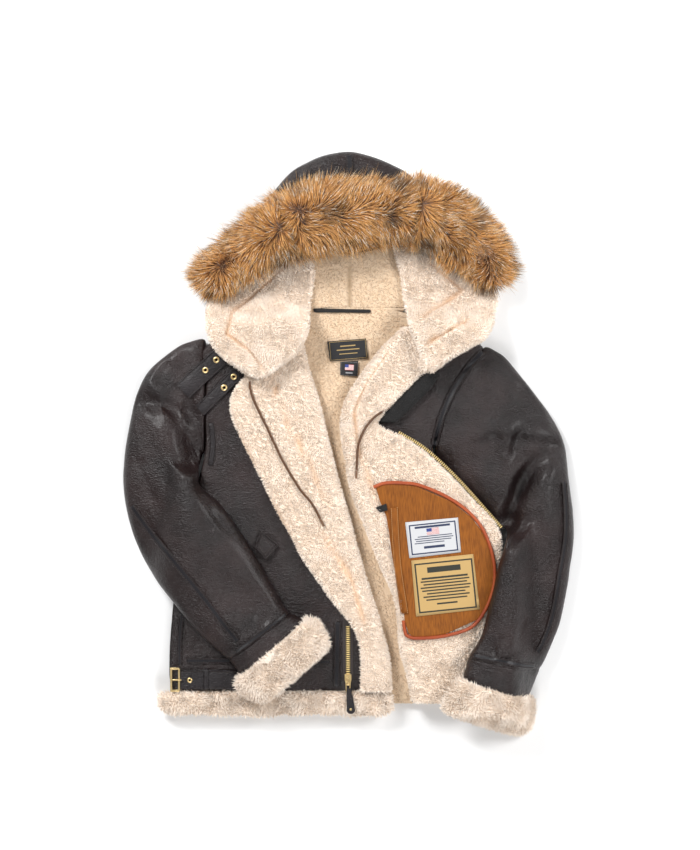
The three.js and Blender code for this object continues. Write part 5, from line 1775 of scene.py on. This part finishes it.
@dataclass
class Pocket:
    """The half-round inner pocket with its binding, welt, loop and labels, and the labels at the neck."""

    over_lining: float = 3.4
    over_hide: float = 0.25
    rim: tuple[Point, ...] = (
        (46, -26), (66, -19), (99, -19), (124, -23), (165, -40), (200, -63), (225, -90), (240.5, -123),
        (248.5, -157), (247.5, -191), (236.5, -225), (220, -251), (200, -265.5), (166, -275), (136, -278.5),
        (110, -278.5), (100, -274), (95.5, -262), (94, -248),
    )

    def build(self, shop: Workshop) -> None:
        """Makes the pocket and every label."""
        panel = linked("pocket_hide_panel", shop.merged("pocket_panel"))
        divided(panel, 2, "SIMPLE")
        shop.finish(panel, Finish.POCKET, 40)
        shop.remember("pocket_panel", panel)
        cut = Cut((0.193, 0.25), "laid", ("front_left",), 0.036)
        shop.keep(panel, "pocket_hide", "pocket_panel", cut=cut)
        rim = beside(self.rim, -2.4)
        binding = shop.piping(
            "pocket_binding_cord", [rim], ("front_left",), OVER_POCKET, 2.9, Finish.BINDING, 2.4, False,
        )
        shop.keep(binding, "binding", "pocket_binding")
        thin = {
            "pocket_welt": (2.4, Finish.POCKET, "pocket_hide", ("pocket_panel", "front_left")),
            "pocket_loop": (3.0, Finish.WOOL, "black_pile", ("pocket_panel", "front_left")),
            "label_white": (0.8, Finish.WHITE_LABEL, "label_white", ("pocket_panel",)),
            "label_ochre": (0.8, Finish.OCHRE_LABEL, "label_ochre", ("pocket_panel",)),
            "neck_label": (0.9, Finish.NECK_LABEL, "label_black", ("back_panel",)),
            "size_label": (0.9, Finish.SIZE_LABEL, "label_black", ("back_panel",)),
        }
        for node, (thickness, finish, slot, over) in thin.items():
            piece = linked(node + "_sewn", shop.merged(node))
            lift = self.over_lining if over == ("back_panel",) else self.over_hide
            shop.hug(piece, over, thickness, lift, 2)
            shop.finish(piece, finish, 50)
            shop.remember(node, piece)
            shop.keep(piece, slot, node)
        welt_rows = [
            [(76, -64), (81, -150), (93, -234)], [(86, -62), (91, -150), (103, -234)],
        ]
        sewn = shop.stitches(
            "pocket_welt_stitches", welt_rows, ("pocket_welt",), OVER_POCKET, 3.4, Finish.TAN_SEWING,
        )
        shop.keep(sewn, "pocket_hide")


@dataclass
class NeckAndCords:
    """The wool at the neck's edge, the hanger strip, the end of the neck seam and the hood's drawcords."""

    radius: float = 2.0
    lift: float = 0.6
    neck_seam: tuple[Point, ...] = ((38, 267.4), (62, 267.2), (82, 266.8), (98, 266.6), (112, 266.6))
    cords: tuple[tuple[str, tuple[Point, ...], str], ...] = (
        ("right", (
            (-157, 146), (-156, 134), (-151, 117), (-142, 97), (-129, 71), (-116, 43),
            (-104, 18), (-89, -8), (-73, -33), (-56, -53), (-46, -70), (-41, -80),
        ), "front_right"),
        ("left", ((78, 106), (66, 99), (46, 85), (31, 65), (22, 42), (20, 20), (19, 0)), "front_left"),
    )

    def build(self, shop: Workshop) -> None:
        """Makes each piece."""
        wool = shop.finish(shop.rounded("collar_wool", 2, "collar_wool_skin"), Finish.WOOL)
        fur = Fur(SHORT_TUFT, Finish.WOOL, "black_pile", WOOL_DENSITY, 0.6, 1.1, 0.4, 0.5, 51)
        shop.keep(shop.grow(wool, fur, "collar_wool_pile", clumped(20)), "black_pile")
        shop.keep(wool, "black_pile", "collar_wool")
        strip = shop.finish(shop.rounded("hanger_strip", 2, "hanger_strip_skin"), Finish.WOOL)
        shop.keep(strip, "black_pile", "hanger_strip")
        seam = shop.piping(
            "neck_seam", [self.neck_seam], ("back_panel", "hood_shell"), OVER_NECK, 2.6, Finish.LINING,
            -2.3, groove=5,
        )
        shop.keep(seam, "lining_pile")
        for side, route, over in self.cords:
            self._cord(shop, side, route, over)

    def _cord(self, shop: Workshop, side: str, route: Sequence[Point], over: str) -> None:
        """One drawcord with its tip, lying on the wool at heights averaged over five places."""
        spots = eased(route, 8.0)
        heights = np.array([shop.height(x * MM, y * MM, 0.3, (over,), dressed=False) or 0 for x, y in spots])
        padded = np.concatenate([[heights[0]] * 2, heights, [heights[-1]] * 2])
        heights = np.convolve(padded, np.ones(5) / 5, "valid") + (self.radius + self.lift) * MM
        places = [(x * MM, y * MM, z) for (x, y), z in zip(spots, heights)]
        lace = rod(f"drawcord_{side}_lace", [places], self.radius, 3)
        lace.data.materials.append(shop.materials[Finish.LACE])
        tip = shop.edged(f"aglet_{side}", f"aglet_{side}_tip", 0.5, Finish.TIP)
        shop.keep(tip, "lace", f"aglet_{side}")
        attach(lace, COAT)
        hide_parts(f"drawcord_{side}")


@dataclass
class Studio:
    """A white table, soft lights and a camera straight above."""

    centre: tuple[float, float, float] = (0.00825, 0.07425, 0.04)
    tall: float = 1.4025
    lens: float = 85.0
    sensor: float = 36.0
    surround: float = 0.28

    def build(self) -> None:
        """Sets the camera, the lights, the world and the table."""
        camera = bpy.data.cameras.new("camera")
        camera.lens = self.lens
        camera.sensor_width = self.sensor
        eye = bpy.data.objects.new("camera", camera)
        x, y, z = self.centre
        eye.location = (x, y, z + self.tall * self.lens / self.sensor)
        bpy.context.scene.collection.objects.link(eye)
        bpy.context.scene.camera = eye
        self._light("key", (-1.3, 1.6, 1.9), 0.8, 74)
        self._light("fill", (1.7, 0.6, 1.7), 0.9, 38)
        self._light("low", (0.1, -1.9, 1.5), 0.9, 22)
        self._world()
        self._table()
        bpy.context.scene.view_settings.view_transform = "Standard"
        bpy.context.scene.view_settings.look = "None"

    def _light(self, name: str, place: Sequence[float], size: float, power: float) -> None:
        """A square soft light that faces the coat."""
        data = bpy.data.lights.new(name, "AREA")
        data.size = size
        data.energy = power
        lamp = bpy.data.objects.new(name, data)
        lamp.location = place
        lamp.rotation_euler = (Vector(self.centre) - Vector(place)).to_track_quat("-Z", "Y").to_euler()
        bpy.context.scene.collection.objects.link(lamp)

    def _world(self) -> None:
        """An even white surround."""
        world = bpy.data.worlds.new("surround")
        world.use_nodes = True
        world.node_tree.nodes["Background"].inputs[0].default_value = (1, 1, 1, 1)
        world.node_tree.nodes["Background"].inputs[1].default_value = self.surround
        bpy.context.scene.world = world

    def _table(self) -> None:
        """A large pale table top."""
        bm = bmesh.new()
        bmesh.ops.create_grid(bm, x_segments=8, y_segments=8, size=6)
        mesh = mesh_of(bm, "table")
        g = Graph("white_table")
        tone = g.noise(g.place(), 3, 2)
        mesh.materials.append(g.surface(
            Base_Color=g.blend(tone, rgb(0.93, 0.93, 0.93), rgb(0.95, 0.95, 0.95)), Roughness=0.9,
        ))
        table = linked("table", mesh)
        table.location.z = -0.0005


def main() -> None:
    """Builds the studio and dresses the coat, piece by piece."""
    logging.basicConfig(level=logging.INFO, format="%(name)s: %(message)s")
    noise.seed_set(NOISE_SEED)
    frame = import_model()
    Studio().build()
    shop = Workshop(frame)
    for part in (BodyPanels(), Sleeves(), Hood()):
        for panel in part.panels():
            panel.build(shop)
    for part in (SeamTapes(), Straps(), Zip(), Pocket(), NeckAndCords()):
        part.build(shop)


if __name__ == "__main__":
    main()
